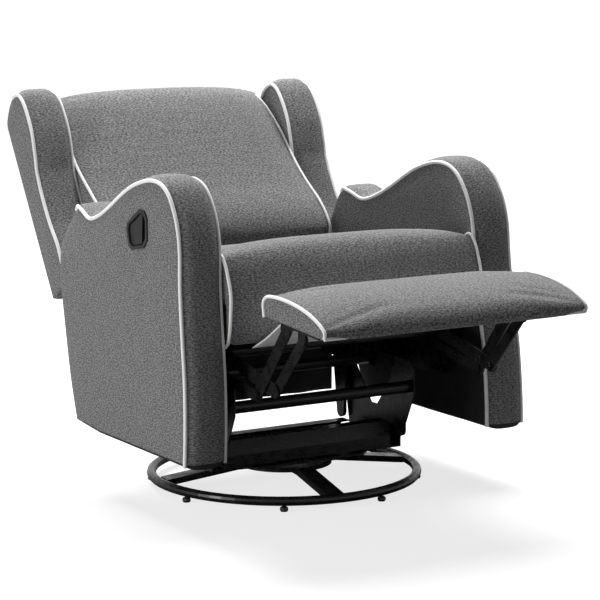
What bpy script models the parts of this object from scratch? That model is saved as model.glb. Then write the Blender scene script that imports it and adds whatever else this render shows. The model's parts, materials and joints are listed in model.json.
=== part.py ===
"""Glider recliner with a swivel ring base, a wing back and a fold-out footrest.

Metres, +Z up, the chair faces -Y, and the occupant's right hand is at -X.
The pose is the one that the chair is shown in: footrest out, back laid down.
Lengths below are in metres and angles in degrees.
"""
import math

import bmesh
import bpy
from mathutils import Matrix, Vector

# Clearances and stock sizes
SEAT_GAP = 0.0003          # between pieces that touch
PIN_GAP = 0.0003           # round a pin in its hole
SOFT_GAP = 0.0003          # between a padded piece and what it leans on
OVERRUN = 0.004            # how far a cutter runs past what it cuts
PLATE = 0.003              # sheet steel of links and side plates
PIN_RADIUS = 0.005
HEAD_RADIUS = 0.008
HEAD_THICKNESS = 0.0014
TUBE_RADIUS = 0.0125
TUBE_WALL = 0.002

# Arms: side outline, thickness and the lean towards the top
ARM_FRONT_Y = -0.363
ARM_DEPTH = 0.571
ARM_BOTTOM_Z = 0.128
ARM_HEIGHT = 0.526
ARM_OUTER_BOTTOM_X = 0.3875
ARM_INNER_BOTTOM_X = 0.2958
ARM_OUTER_TOP_X = 0.369
ARM_INNER_TOP_X = 0.279
ARM_EDGE_ROLL = 0.004

# Across the arm from its inner face: share of its width, share of the roll.
ARM_STATIONS = ((0.0, 1.0), (0.03, 0.35), (0.09, 0.0), (0.5, -1.0), (0.91, 0.0), (0.97, 0.35),
                (1.0, 1.0))

# Shares of ARM_DEPTH, from the front, and of ARM_HEIGHT, from the bottom.
ARM_REAR_SHARES = ((0.640, 0.000), (0.822, 0.016), (0.884, 0.186), (0.962, 0.485),
                   (1.000, 0.660), (0.979, 0.717), (0.935, 0.785), (0.883, 0.843))
ARM_TOP_SHARES = ((0.883, 0.843), (0.835, 0.829), (0.766, 0.808), (0.687, 0.828),
                  (0.596, 0.871), (0.500, 0.925), (0.416, 0.966), (0.329, 0.992),
                  (0.262, 1.000), (0.206, 0.992), (0.159, 0.966), (0.119, 0.920),
                  (0.084, 0.852), (0.063, 0.764), (0.054, 0.620), (0.031, 0.441),
                  (0.010, 0.290), (0.000, 0.118), (0.000, 0.000))

# Swivel ring base
RING_CENTRE_Y = -0.067
RING_RADIUS = 0.273
RING_TUBE_RADIUS = 0.0095
RING_Z = 0.020
RING_SIDES = 64
BASE_TURN = -8.0
GLIDE_COUNT = 8
GLIDE_TURN = 14.4
GLIDE_RADIUS = 0.0085
GLIDE_SHARES = ((0.80, 0.00), (1.00, 0.35), (0.90, 0.80), (0.47, 1.00))
CROSSBAR_COUNT = 4
CROSSBAR_WIDTH = 0.036
CROSSBAR_THICKNESS = 0.013
HUB_RADIUS = 0.098
HUB_WALL = 0.006
HUB_TOP_Z = 0.046
HUB_LIP = 0.010
BEARING_RADIUS = 0.072
BEARING_BORE = 0.050
BEARING_HEIGHT = 0.010
SWIVEL_PLATE = 0.004
SWIVEL_PLATE_X = 0.150
SWIVEL_PLATE_Y = 0.112
SWIVEL_PLATE_CORNER = 0.028
BOLT_RADIUS = 0.008
BOLT_HEAD_RADIUS = 0.015

# Glider: two vee stands, four hanging links and two rails
STAND_X = 0.221
LINK_X = 0.215
RAIL_X = 0.209
GLIDE_PIVOT_SPREAD = 0.115   # half the distance from front to rear pivots
GLIDE_TOP_Z = 0.240
GLIDE_LINK_LENGTH = 0.140
LINK_END_RADIUS = 0.012
STAND_ARM = 0.015            # half the width of a stand's arm
STAND_FOOT_Y = 0.098
STAND_FOOT_IN = 0.060
CHANNEL_OFFSET_Y = 0.078
CHANNEL_DEPTH = 0.040
CHANNEL_HEIGHTS = (0.052, 0.028)   # front, rear
CHANNEL_WALL = 0.003
CHANNEL_X = 0.196
RAIL_TOP_Z = 0.252
RAIL_BAR = 0.034
RAIL_LEG = 0.013
FRONT_TUBE_Y = -0.212
FRONT_TUBE_Z = 0.196
CROSS_TUBE_Z = 0.235
MIDDLE_TUBE_Y = RING_CENTRE_Y
REAR_TUBE_Y = 0.128

# Seat mechanism side plates
MECHANISM_X = 0.262
PLATE_PITCH = 0.005
LINK_PLANES = 5
MECHANISM_FRONT_Y = -0.286
MECHANISM_REAR_Y = 0.172
MECHANISM_BOTTOM_Z = 0.222
MECHANISM_TOP_Z = 0.345
MECHANISM_CORNER = 0.020     # cut off the plate's lower corners
MECHANISM_CHAMFER = 0.012    # cut off its upper ones
MECHANISM_HEEL = 0.030       # from the plate's top down to where its rear leans
FLANGE_X = 0.272
FLANGE_END = 0.014

# Footrest linkage: pivots as (y, z) with the footrest out
LOWER_PIVOT = (-0.262, 0.318)
CONTROL_PIVOT = (-0.2505, 0.2794)
KNEE_PIVOT = (-0.418, 0.282)
FOOTREST_PIVOT = (-0.512, 0.400)
KNEE_LIFT = 0.036            # the lower link runs on past the knee
TAIL_LENGTH = 0.030          # the upper link runs on behind the knee
FRONT_PIVOT_AHEAD = 0.0415
FRONT_PIVOT_BELOW = 0.012
UPPER_LINK_RADIUS = 0.0135
LOWER_LINK_RADIUS = 0.0135
CONTROL_LINK_RADIUS = 0.011
FRONT_LINK_RADIUS = 0.012
TORQUE_TUBE_RADIUS = 0.0095
TORQUE_TUBE_BORE = 0.0062

# Footrest, in its own frame: ahead of and above its pivot
FOOTREST_TILT = 4.0
FOOTREST_HALF_WIDTH = 0.2845
FOOTREST_REAR = 0.036
FOOTREST_FRONT = 0.170
BOARD_BELOW = 0.019
BOARD_THICKNESS = 0.012
BOARD_INSET = 0.010
PAD_THICKNESS = 0.033
PAD_CROWN = 0.006
PAD_ROLL = 0.007
BRACKET_DEPTH = 0.028
BRACKET_FLANGE = 0.020
BRACKET_FRONT = 0.118
BRACKET_REAR = 0.016
BRACKET_HOLES = 5
BRACKET_HOLE_RADIUS = 0.0022
BRACKET_HOLE_BELOW = 0.0085

# Shares of the pad's length, from its rear edge, and of its thickness.
PAD_TOP_SHARES = ((0.000, 0.000), (-0.010, 0.300), (0.000, 0.640), (0.045, 0.880),
                  (0.120, 1.000), (0.260, 1.060), (0.420, 1.040), (0.580, 0.930),
                  (0.740, 0.700), (0.880, 0.380), (0.965, 0.120), (1.000, -0.060),
                  (0.985, -0.250))

# Seat: frame and cushion
SEAT_FRAME_X = 0.2660
SEAT_FRAME_FRONT_Y = -0.336
SEAT_FRAME_REAR_Y = 0.150
SEAT_FRAME_FRONT_Z = 0.425
SEAT_FRAME_REAR_Z = 0.372
SEAT_WALL = 0.018
SEAT_DECK = 0.012
SEAT_CUSHION_X = 0.2770
SEAT_FRONT_Y = -0.356
SEAT_REAR_Y = 0.163
SEAT_ROLL_BOTTOM_Z = 0.342
SEAT_FRONT_TOP_Z = 0.527
SEAT_REAR_TOP_Z = 0.458
SEAT_CROWN = 0.009
SEAT_ROLL = 0.010
SEAT_FLAP = 0.004            # least thickness of the roll before the frame
SEAT_FLAP_DEPTH = 0.026

# Shares of the cushion's depth, from its front face, and of its height above
# the roll's bottom, which is the front top height.
SEAT_ROLL_SHARES = ((0.040, 0.000), (0.018, 0.060), (0.004, 0.200), (-0.004, 0.400),
                    (-0.006, 0.600), (0.006, 0.780), (0.030, 0.920), (0.070, 1.000))

# Shares of the cushion's depth, and of the top's fall from front to rear.
SEAT_TOP_SHARES = ((0.420, 0.700), (0.930, 0.030), (0.988, -0.160), (1.000, -0.430))

# Across a pad: share of its half width, and of its crown or, below 0, its roll.
PAD_STATIONS = ((-1.0, -1.0), (-0.985, -0.35), (-0.955, 0.0), (-0.72, 0.35), (-0.36, 0.8), (0.0, 1.0),
                (0.36, 0.8), (0.72, 0.35), (0.955, 0.0), (0.985, -0.35), (1.0, -1.0))

# Linings: the cloth before the seat, and the black cloth behind the mechanism
LINING_HALF_WIDTH = 0.232
LINING_THICKNESS = 0.002
REAR_LINING_HALF_WIDTH = 0.252
REAR_LINING_BOTTOM_Z = 0.126
REAR_LINING_TOP_Z = 0.366

# Back: everything is in the back's frame, above and ahead of its pivot
BACK_PIVOT = (0.205, 0.420)
BACK_RECLINE = 32.0
BACK_REAR = 0.098
BACK_BOTTOM = -0.011
BACK_TOP = 0.433
WING_DEPTH = 0.114
WING_INNER_X = 0.2688
WING_OUTER_X = 0.354
WING_ROLL = 0.004
BACK_FRAME_X = 0.2652
BACK_FRAME_THICKNESS = 0.018
BACK_FRAME_BOTTOM = 0.030
BACK_FRAME_TOP = 0.386
BACK_CUSHION_X = 0.2684
BACK_CUSHION_BRACKET_X = 0.2645   # beside the brackets
BACK_CUSHION_TOP_X = 0.2500
BACK_CUSHION_BOTTOM = 0.022
BACK_PAD_REAR = 0.058
BACK_PAD_DEPTH = 0.102
BACK_CROWN = 0.014
BACK_ROLL = 0.010
BACK_COVER_THICKNESS = 0.004
BACK_BRACKET_LENGTH = 0.170
BACK_BRACKET_RADIUS = 0.014
BACK_BRACKET_KNEE = 0.38     # share of its length at which it bends

# The cushion's top edge: how far ahead of the rear, and share of the height.
BACK_TOP_EDGE = ((0.012, 0.935), (0.002, 0.912))

# Shares of WING_DEPTH, from the rear, and of the back's height.
WING_SHARES = ((0.000, 0.000), (0.000, 0.905), (0.060, 0.938), (0.300, 0.975),
               (0.600, 0.998), (0.780, 0.995), (0.930, 0.972), (1.000, 0.930),
               (1.000, 0.840), (0.975, 0.740), (0.860, 0.640), (0.755, 0.560),
               (0.710, 0.430), (0.730, 0.300), (0.800, 0.190), (0.770, 0.080),
               (0.690, 0.012))

# Shares of the cushion's height, and of its depth ahead of BACK_PAD_REAR.
CUSHION_FRONT_SHARES = ((0.030, 0.870), (0.110, 0.990), (0.220, 0.930), (0.340, 0.800),
                        (0.560, 0.640), (0.740, 0.500), (0.900, 0.330), (0.985, 0.130),
                        (1.012, -0.080), (0.995, -0.200))

# Release handle in the right arm
HANDLE_CENTRE = (ARM_FRONT_Y + 0.3678 * ARM_DEPTH, ARM_BOTTOM_Z + 0.8061 * ARM_HEIGHT)
HANDLE_HALF_DEPTH = 0.042
HANDLE_HALF_HEIGHT = 0.037
HANDLE_RIM = 0.004
HANDLE_WALL = 0.0025
HANDLE_CUP_DEPTH = 0.020
HANDLE_PROUD = 0.003
PADDLE_THICKNESS = 0.005
PADDLE_GAP = 0.0020
PADDLE_PIN_RADIUS = 0.0014
FINGER_GAP = 0.016

# Shares of the handle's half depth (towards the front) and half height.
HANDLE_SHARES = ((-0.30, 0.62), (0.28, 1.00), (0.66, 0.96), (0.92, 0.62),
                 (0.96, -0.42), (0.66, -0.78), (-0.40, -1.00), (-0.70, -0.84),
                 (-0.92, -0.10), (-0.84, 0.24))

SIDES = (("right", -1.0), ("left", 1.0))


def material(name, colour, roughness, metallic=0.0):
    made = bpy.data.materials.new(name)
    made.use_nodes = True
    shader = made.node_tree.nodes["Principled BSDF"]
    shader.inputs["Base Color"].default_value = (*colour, 1.0)
    shader.inputs["Roughness"].default_value = roughness
    shader.inputs["Metallic"].default_value = metallic
    return made


# Outlines


def smooth(points, steps):
    """A Catmull-Rom curve through points, ends included."""
    curve = []
    last = len(points) - 1
    for index in range(last):
        before = points[max(index - 1, 0)]
        start = points[index]
        end = points[index + 1]
        after = points[min(index + 2, last)]
        for step in range(steps):
            t = step / steps
            curve.append(tuple(
                0.5 * (2 * b + (c - a) * t + (2 * a - 5 * b + 4 * c - d) * t ** 2
                       + (3 * b - a - 3 * c + d) * t ** 3)
                for a, b, c, d in zip(before, start, end, after)))
    curve.append(tuple(points[last]))
    return curve


def circle(centre, radius, count, start=0.0):
    return [(centre[0] + radius * math.cos(start + math.tau * step / count),
             centre[1] + radius * math.sin(start + math.tau * step / count))
            for step in range(count)]


def capsule(start, end, radius, steps=7):
    """A flat bar's outline: two half rounds joined by straight sides."""
    angle = math.atan2(end[1] - start[1], end[0] - start[0])
    outline = []
    for centre, turn in ((end, angle - math.pi / 2), (start, angle + math.pi / 2)):
        for step in range(steps + 1):
            at = turn + math.pi * step / steps
            outline.append((centre[0] + radius * math.cos(at),
                            centre[1] + radius * math.sin(at)))
    return outline


def along(start, end, distance):
    """The point that lies a distance from start on the way to end."""
    length = math.dist(start, end)
    return tuple(a + (b - a) * distance / length for a, b in zip(start, end))


def signed_area(outline):
    return sum(a[0] * b[1] - b[0] * a[1]
               for a, b in zip(outline, outline[1:] + outline[:1])) / 2


def outward(outline):
    """Unit normals at an outline's points, pointing out of its area."""
    way = 1.0 if signed_area(outline) > 0 else -1.0
    normals = []
    for before, after in zip(outline[-1:] + outline[:-1], outline[1:] + outline[:1]):
        run = (after[0] - before[0], after[1] - before[1])
        length = math.hypot(*run) or 1.0
        normals.append((way * run[1] / length, -way * run[0] / length))
    return normals


# Solids


def make_object(name, bm, finish):
    bmesh.ops.remove_doubles(bm, verts=bm.verts, dist=PIN_GAP / 30)
    bmesh.ops.recalc_face_normals(bm, faces=bm.faces)
    mesh = bpy.data.meshes.new(name)
    bm.to_mesh(mesh)
    bm.free()
    made = bpy.data.objects.new(name, mesh)
    bpy.context.scene.collection.objects.link(made)
    if finish:
        mesh.materials.append(finish)
    return made


def skin(bm, rings, closed_ends=True):
    """Faces between successive rings of vertices, and a cap on each end."""
    count = len(rings[0])
    for lower, upper in zip(rings, rings[1:]):
        for index in range(count):
            follow = (index + 1) % count
            bm.faces.new((lower[index], lower[follow], upper[follow], upper[index]))
    if closed_ends:
        bm.faces.new(list(reversed(rings[0])))
        bm.faces.new(rings[-1])


def prism_x(name, outline, x_low, x_high, finish=None):
    """A (y, z) outline extruded along X. Each end's x may depend on y and z."""
    low = x_low if callable(x_low) else (lambda y, z: x_low)
    high = x_high if callable(x_high) else (lambda y, z: x_high)
    bm = bmesh.new()
    rings = [[bm.verts.new((end(y, z), y, z)) for y, z in outline] for end in (low, high)]
    skin(bm, rings)
    return make_object(name, bm, finish)


def prism_y(name, outline, y_low, y_high, finish=None):
    bm = bmesh.new()
    rings = [[bm.verts.new((x, y, z)) for x, z in outline] for y in (y_low, y_high)]
    skin(bm, rings)
    return make_object(name, bm, finish)


def prism_z(name, outline, z_low, z_high, finish=None):
    bm = bmesh.new()
    rings = [[bm.verts.new((x, y, z)) for x, y in outline] for z in (z_low, z_high)]
    skin(bm, rings)
    return make_object(name, bm, finish)


def rectangle(low, high):
    return [(low[0], low[1]), (high[0], low[1]), (high[0], high[1]), (low[0], high[1])]


def block(name, low, high, finish=None):
    return prism_z(name, rectangle(low, high), low[2], high[2], finish)


def rod_x(name, centre, radius, x_low, x_high, finish=None, count=16):
    return prism_x(name, circle(centre, radius, count), x_low, x_high, finish)


def turned(name, profile, centre, finish=None, count=32):
    """A closed (radius, z) profile turned about a vertical axis."""
    bm = bmesh.new()
    rings = []
    for step in range(count):
        angle = math.tau * step / count
        rings.append([bm.verts.new((centre[0] + radius * math.cos(angle),
                                    centre[1] + radius * math.sin(angle), z))
                      for radius, z in profile])
    skin(bm, rings + rings[:1], closed_ends=False)
    return make_object(name, bm, finish)


def combine(target, tool, operation):
    """Adds or removes a tool's volume, and keeps the result as plain mesh."""
    modifier = target.modifiers.new(operation.lower(), "BOOLEAN")
    modifier.operation = operation
    modifier.solver = "EXACT"
    modifier.object = tool
    bpy.context.view_layer.update()
    evaluated = target.evaluated_get(bpy.context.evaluated_depsgraph_get())
    mesh = bpy.data.meshes.new_from_object(evaluated)
    target.modifiers.clear()
    target.data = mesh
    bpy.data.objects.remove(tool)


def cut(target, tool):
    combine(target, tool, "DIFFERENCE")


def join(target, tool):
    combine(target, tool, "UNION")


def padded_solid(name, rings_at, finish):
    """A padded solid through rings of points, closed at both ends."""
    bm = bmesh.new()
    rings = [[bm.verts.new(point) for point in ring] for ring in rings_at]
    skin(bm, rings)
    return make_object(name, bm, finish)


# Placing


def pivot(name, location, turn_x=0.0, parent=None):
    """An empty on a joint's axis, which carries the pieces that turn there."""
    made = bpy.data.objects.new(name, None)
    bpy.context.scene.collection.objects.link(made)
    if parent:
        made.parent = parent
    made.matrix_world = Matrix.Translation(location) @ Matrix.Rotation(math.radians(turn_x), 4, "X")
    bpy.context.view_layer.update()
    return made


def hang(made, parent):
    """Carries a piece on a pivot; its mesh was drawn in the chair's frame."""
    made.data.transform(parent.matrix_world.inverted())
    made.parent = parent


def hang_local(made, parent):
    """Carries a piece on a pivot; its mesh was drawn in the pivot's frame."""
    made.parent = parent


def soft_edges(made, angle=40.0):
    made.data.shade_smooth()
    made.data.set_sharp_from_angle(angle=math.radians(angle))


# Flat bars with pins


def span(side, near, far):
    """The two x values of a piece between two distances from the middle."""
    return (side * near, side * far) if side > 0 else (side * far, side * near)


def bar(name, side, plane, outline, finish, holes=(), hole_radius=PIN_RADIUS + PIN_GAP):
    made = prism_x(name, outline, *span(side, plane - PLATE / 2, plane + PLATE / 2), finish)
    for centre in holes:
        tool = rod_x("hole", centre, hole_radius,
                     *span(side, plane - PLATE / 2 - OVERRUN, plane + PLATE / 2 + OVERRUN))
        cut(made, tool)
    return made


def add_pin(made, side, centre, plane, through, radius=PIN_RADIUS, head=True):
    """A pin fixed in the bar at plane, through the bar at the plane through."""
    way = 1.0 if through > plane else -1.0
    far = through + way * (PLATE / 2 + PIN_GAP)
    tip = far + way * HEAD_THICKNESS if head else far
    shank = rod_x("pin", centre, radius, *span(side, *sorted((plane, tip))))
    join(made, shank)
    if head:
        join(made, rod_x("head", centre, HEAD_RADIUS, *span(side, *sorted((far, tip)))))


def add_cap(made, side, centre, plane, way):
    """A rivet's head on one face of a bar, at the end that stays open."""
    inner = plane + way * PLATE / 4
    outer = plane + way * (PLATE / 2 + HEAD_THICKNESS)
    join(made, rod_x("cap", centre, HEAD_RADIUS, *span(side, *sorted((inner, outer)))))


# Base on the floor


def build_floor_base(finishes):
    base = pivot("floor_base", (0, RING_CENTRE_Y, 0))
    centre = (0.0, RING_CENTRE_Y)
    section = [(RING_RADIUS + a, RING_Z + b) for a, b in circle((0, 0), RING_TUBE_RADIUS, 12)]
    ring = turned("base_ring", section, centre, finishes["steel"], RING_SIDES)
    soft_edges(ring)
    hang(ring, base)

    bore = (RING_RADIUS - RING_TUBE_RADIUS) * math.cos(math.pi / RING_SIDES) - SEAT_GAP
    inner_radius = math.sqrt(bore ** 2 - (CROSSBAR_WIDTH / 2) ** 2)
    hub = turned("base_cross", [(BOLT_RADIUS + PIN_GAP, HUB_TOP_Z - HUB_WALL),
                                (HUB_RADIUS - HUB_LIP, HUB_TOP_Z - HUB_WALL),
                                (HUB_RADIUS, HUB_TOP_Z - HUB_LIP),
                                (HUB_RADIUS, HUB_TOP_Z),
                                (BOLT_RADIUS + PIN_GAP, HUB_TOP_Z)],
                 centre, finishes["steel"], 40)
    end_z = RING_Z - CROSSBAR_THICKNESS / 2
    start_z = HUB_TOP_Z - CROSSBAR_THICKNESS
    start = HUB_RADIUS - 2 * HUB_LIP
    for index in range(CROSSBAR_COUNT):
        angle = math.radians(BASE_TURN - 90 + index * 360 / CROSSBAR_COUNT)
        profile = [(start, start_z), (HUB_RADIUS + HUB_LIP, start_z), (inner_radius, end_z),
                   (inner_radius, end_z + CROSSBAR_THICKNESS),
                   (HUB_RADIUS + HUB_LIP, HUB_TOP_Z), (start, HUB_TOP_Z)]
        beam = prism_y("beam", profile, -CROSSBAR_WIDTH / 2, CROSSBAR_WIDTH / 2)
        beam.data.transform(Matrix.Translation((0, RING_CENTRE_Y, 0)) @ Matrix.Rotation(angle, 4, "Z"))
        join(hub, beam)
    hang(hub, base)

    for index in range(GLIDE_COUNT):
        angle = math.radians(GLIDE_TURN + index * 360 / GLIDE_COUNT)
        place = (RING_RADIUS * math.sin(angle), RING_CENTRE_Y - RING_RADIUS * math.cos(angle))
        top = RING_Z - RING_TUBE_RADIUS - SEAT_GAP
        profile = [(GLIDE_RADIUS * a, top * b) for a, b in GLIDE_SHARES]
        glide = solid_turned("floor_glide_%d" % (index + 1), profile, place, finishes["plastic"], 12)
        hang(glide, base)
    return base


def solid_turned(name, profile, centre, finish, count):
    """A (radius, z) profile, turned solid with flat ends."""
    bm = bmesh.new()
    rings = []
    for radius, z in profile:
        rings.append([bm.verts.new((centre[0] + radius * math.cos(math.tau * step / count),
                                    centre[1] + radius * math.sin(math.tau * step / count), z))
                      for step in range(count)])
    skin(bm, rings)
    return make_object(name, bm, finish)


# Swivel frame: turns on the base


def build_swivel_frame(finishes):
    frame = pivot("swivel_axis", (0, RING_CENTRE_Y, 0))
    centre = (0.0, RING_CENTRE_Y)
    bearing_z = HUB_TOP_Z + SEAT_GAP
    plate_z = bearing_z + BEARING_HEIGHT + SEAT_GAP
    foot_z = plate_z + SWIVEL_PLATE + SEAT_GAP

    bearing = turned("swivel_bearing", [(BEARING_BORE, bearing_z), (BEARING_RADIUS, bearing_z),
                                        (BEARING_RADIUS, bearing_z + BEARING_HEIGHT),
                                        (BEARING_BORE, bearing_z + BEARING_HEIGHT)],
                     centre, finishes["zinc"], 32)
    hang(bearing, frame)

    short_x = SWIVEL_PLATE_X - SWIVEL_PLATE_CORNER
    short_y = SWIVEL_PLATE_Y - SWIVEL_PLATE_CORNER
    plate_outline = [(SWIVEL_PLATE_X, -short_y), (SWIVEL_PLATE_X, short_y), (short_x, SWIVEL_PLATE_Y),
                     (-short_x, SWIVEL_PLATE_Y), (-SWIVEL_PLATE_X, short_y), (-SWIVEL_PLATE_X, -short_y),
                     (-short_x, -SWIVEL_PLATE_Y), (short_x, -SWIVEL_PLATE_Y)]
    plate = prism_z("swivel_plate", [(x, RING_CENTRE_Y + y) for x, y in plate_outline],
                    plate_z, plate_z + SWIVEL_PLATE, finishes["steel"])
    cut(plate, prism_z("hole", circle(centre, BOLT_RADIUS + PIN_GAP, 16),
                       plate_z - OVERRUN, plate_z + SWIVEL_PLATE + OVERRUN))
    hang(plate, frame)

    head_low = HUB_TOP_Z - HUB_WALL - PIN_GAP - HEAD_THICKNESS
    bolt = turned_stack("swivel_bolt", centre,
                        ((BOLT_HEAD_RADIUS, head_low, HUB_TOP_Z - HUB_WALL - PIN_GAP),
                         (BOLT_RADIUS, HUB_TOP_Z - HUB_WALL - PIN_GAP, foot_z),
                         (BOLT_HEAD_RADIUS, foot_z, foot_z + 3 * HEAD_THICKNESS)),
                        finishes["zinc"])
    hang(bolt, frame)

    for name, way, height in zip(("front", "rear"), (-1.0, 1.0), CHANNEL_HEIGHTS):
        middle = RING_CENTRE_Y + way * CHANNEL_OFFSET_Y
        low = foot_z + PLATE + SEAT_GAP
        high = low + height
        outer = middle + way * CHANNEL_DEPTH / 2
        inner = middle - way * CHANNEL_DEPTH / 2
        wall = way * CHANNEL_WALL
        bend = height * 0.45
        outline = [(inner, low), (outer, low), (outer, low + bend), (outer - 4 * wall, high),
                   (inner, high), (inner, high - CHANNEL_WALL), (outer - 5 * wall, high - CHANNEL_WALL),
                   (outer - wall, low + bend), (outer - wall, low + CHANNEL_WALL),
                   (inner, low + CHANNEL_WALL)]
        channel = prism_x("%s_channel" % name, outline, -CHANNEL_X, CHANNEL_X, finishes["steel"])
        hang(channel, frame)

    for name, side in SIDES:
        stand = bar("glider_stand_%s" % name, side, STAND_X, stand_outline(foot_z), finishes["steel"])
        low_y = RING_CENTRE_Y - STAND_FOOT_Y
        high_y = RING_CENTRE_Y + STAND_FOOT_Y
        inner_x = CHANNEL_X - STAND_FOOT_IN
        x_low, x_high = span(side, inner_x, STAND_X)
        join(stand, block("foot", (x_low, low_y, foot_z), (x_high, high_y, foot_z + PLATE)))
        for place in glide_tops():
            add_pin(stand, side, place, STAND_X, LINK_X)
        hang(stand, frame)
    return frame


def turned_stack(name, centre, steps, finish, count=16):
    """Discs of given radius between two heights, one on the other."""
    bm = bmesh.new()
    rings = []
    for radius, low, high in steps:
        for z in (low, high):
            rings.append([bm.verts.new((centre[0] + radius * math.cos(math.tau * step / count),
                                        centre[1] + radius * math.sin(math.tau * step / count), z))
                          for step in range(count)])
    skin(bm, rings)
    return make_object(name, bm, finish)


def glide_tops():
    return [(RING_CENTRE_Y + way * GLIDE_PIVOT_SPREAD, GLIDE_TOP_Z) for way in (-1.0, 1.0)]


def stand_outline(foot_z):
    """A vee: two arms that rise from a broad foot to the upper pivots."""
    front, rear = glide_tops()
    rise = GLIDE_TOP_Z - foot_z
    foot = STAND_FOOT_Y
    notch_z = foot_z + 0.42 * rise
    middle = RING_CENTRE_Y
    outline = [(middle - foot, foot_z), (middle + foot, foot_z),
               (middle + foot, foot_z + 0.10 * rise)]
    for step in range(9):
        angle = math.radians(-30 + 195 * step / 8)
        outline.append((rear[0] + STAND_ARM * math.cos(angle), rear[1] + STAND_ARM * math.sin(angle)))
    outline.append((middle + 0.12 * foot, notch_z))
    outline.append((middle - 0.12 * foot, notch_z))
    for step in range(9):
        angle = math.radians(15 + 195 * step / 8)
        outline.append((front[0] + STAND_ARM * math.cos(angle), front[1] + STAND_ARM * math.sin(angle)))
    outline.append((middle - foot, foot_z + 0.10 * rise))
    return outline


def build_glide_links(frame, finishes):
    links = []
    for where, top in zip(("front", "rear"), glide_tops()):
        low = (top[0], top[1] - GLIDE_LINK_LENGTH)
        for name, side in SIDES:
            carrier = pivot("glide_pivot_%s_%s" % (where, name), (side * LINK_X, *top), parent=frame)
            made = bar("glide_link_%s_%s" % (where, name), side, LINK_X,
                       capsule(top, low, LINK_END_RADIUS), finishes["steel"], holes=(top, low))
            hang(made, carrier)
            links.append(carrier)
    return links


# Carriage: what glides


def rail_outline():
    """A bar with two legs that reach down to the links' lower pivots."""
    low_z = GLIDE_TOP_Z - GLIDE_LINK_LENGTH
    bar_low = RAIL_TOP_Z - RAIL_BAR
    front, rear = (place[0] for place in glide_tops())
    end_y = REAR_TUBE_Y + 1.6 * TUBE_RADIUS
    start_y = FRONT_TUBE_Y - 0.8 * TUBE_RADIUS
    outline = [(end_y, bar_low + 0.5 * RAIL_BAR), (end_y, RAIL_TOP_Z), (start_y, RAIL_TOP_Z),
               (start_y - RAIL_LEG, RAIL_TOP_Z - 0.5 * RAIL_BAR),
               (start_y - RAIL_LEG, FRONT_TUBE_Z - TUBE_RADIUS)]
    for centre in (front, rear):
        if centre == rear:
            outline.append((front + 2.6 * RAIL_LEG, bar_low))
            outline.append((rear - 2.2 * RAIL_LEG, bar_low))
        for step in range(7):
            angle = math.pi + math.pi * step / 6
            outline.append((centre + RAIL_LEG * math.cos(angle), low_z + RAIL_LEG * math.sin(angle)))
    outline.append((rear + 2.2 * RAIL_LEG, bar_low))
    outline.append((end_y - RAIL_LEG, bar_low))
    return outline


def arm_inner(z):
    share = (z - ARM_BOTTOM_Z) / ARM_HEIGHT
    return ARM_INNER_BOTTOM_X + (ARM_INNER_TOP_X - ARM_INNER_BOTTOM_X) * share


def arm_outer(z):
    share = (z - ARM_BOTTOM_Z) / ARM_HEIGHT
    return ARM_OUTER_BOTTOM_X + (ARM_OUTER_TOP_X - ARM_OUTER_BOTTOM_X) * share


def arm_outline():
    def place(shares):
        return [(ARM_FRONT_Y + a * ARM_DEPTH, ARM_BOTTOM_Z + b * ARM_HEIGHT) for a, b in shares]
    rear = place(ARM_REAR_SHARES)
    straight = rear[:2] + smooth(rear[1:], 2)[1:-1]
    top = smooth(place(ARM_TOP_SHARES), 2)
    return straight + top


def build_arm(name, side, finish):
    """Two upholstered panels with a band between them, rolled at its edges."""
    outline = arm_outline()
    normals = outward(outline)
    rings = []
    for share, draw in ARM_STATIONS:
        ring = []
        for (y, z), normal in zip(outline, normals):
            inset = ARM_EDGE_ROLL * draw
            x = arm_inner(z) + (arm_outer(z) - arm_inner(z)) * share
            ring.append((side * x, y - normal[0] * inset, z - normal[1] * inset))
        rings.append(ring)
    return padded_solid(name, rings, finish)


def mechanism_outline():
    """The side plate: pivots in front, cross tubes below, the back's hinge."""
    top = MECHANISM_TOP_Z
    low = MECHANISM_BOTTOM_Z
    y, z = BACK_PIVOT
    arm = BACK_BRACKET_RADIUS
    outline = [(MECHANISM_FRONT_Y + MECHANISM_CORNER, low + MECHANISM_CORNER), (CONTROL_PIVOT[0], low),
               (MECHANISM_REAR_Y - MECHANISM_CORNER, low), (MECHANISM_REAR_Y, low + MECHANISM_CORNER),
               (MECHANISM_REAR_Y + MECHANISM_CHAMFER, top - MECHANISM_HEEL)]
    for step in range(7):
        angle = math.radians(-25 + 180 * step / 6)
        outline.append((y + arm * math.cos(angle), z + arm * math.sin(angle)))
    outline.append((MECHANISM_REAR_Y - MECHANISM_CORNER, top))
    outline.append((MECHANISM_FRONT_Y + MECHANISM_CHAMFER, top))
    outline.append((MECHANISM_FRONT_Y, top - MECHANISM_CHAMFER))
    outline.append((MECHANISM_FRONT_Y, LOWER_PIVOT[1] - MECHANISM_CHAMFER))
    return outline


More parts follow.
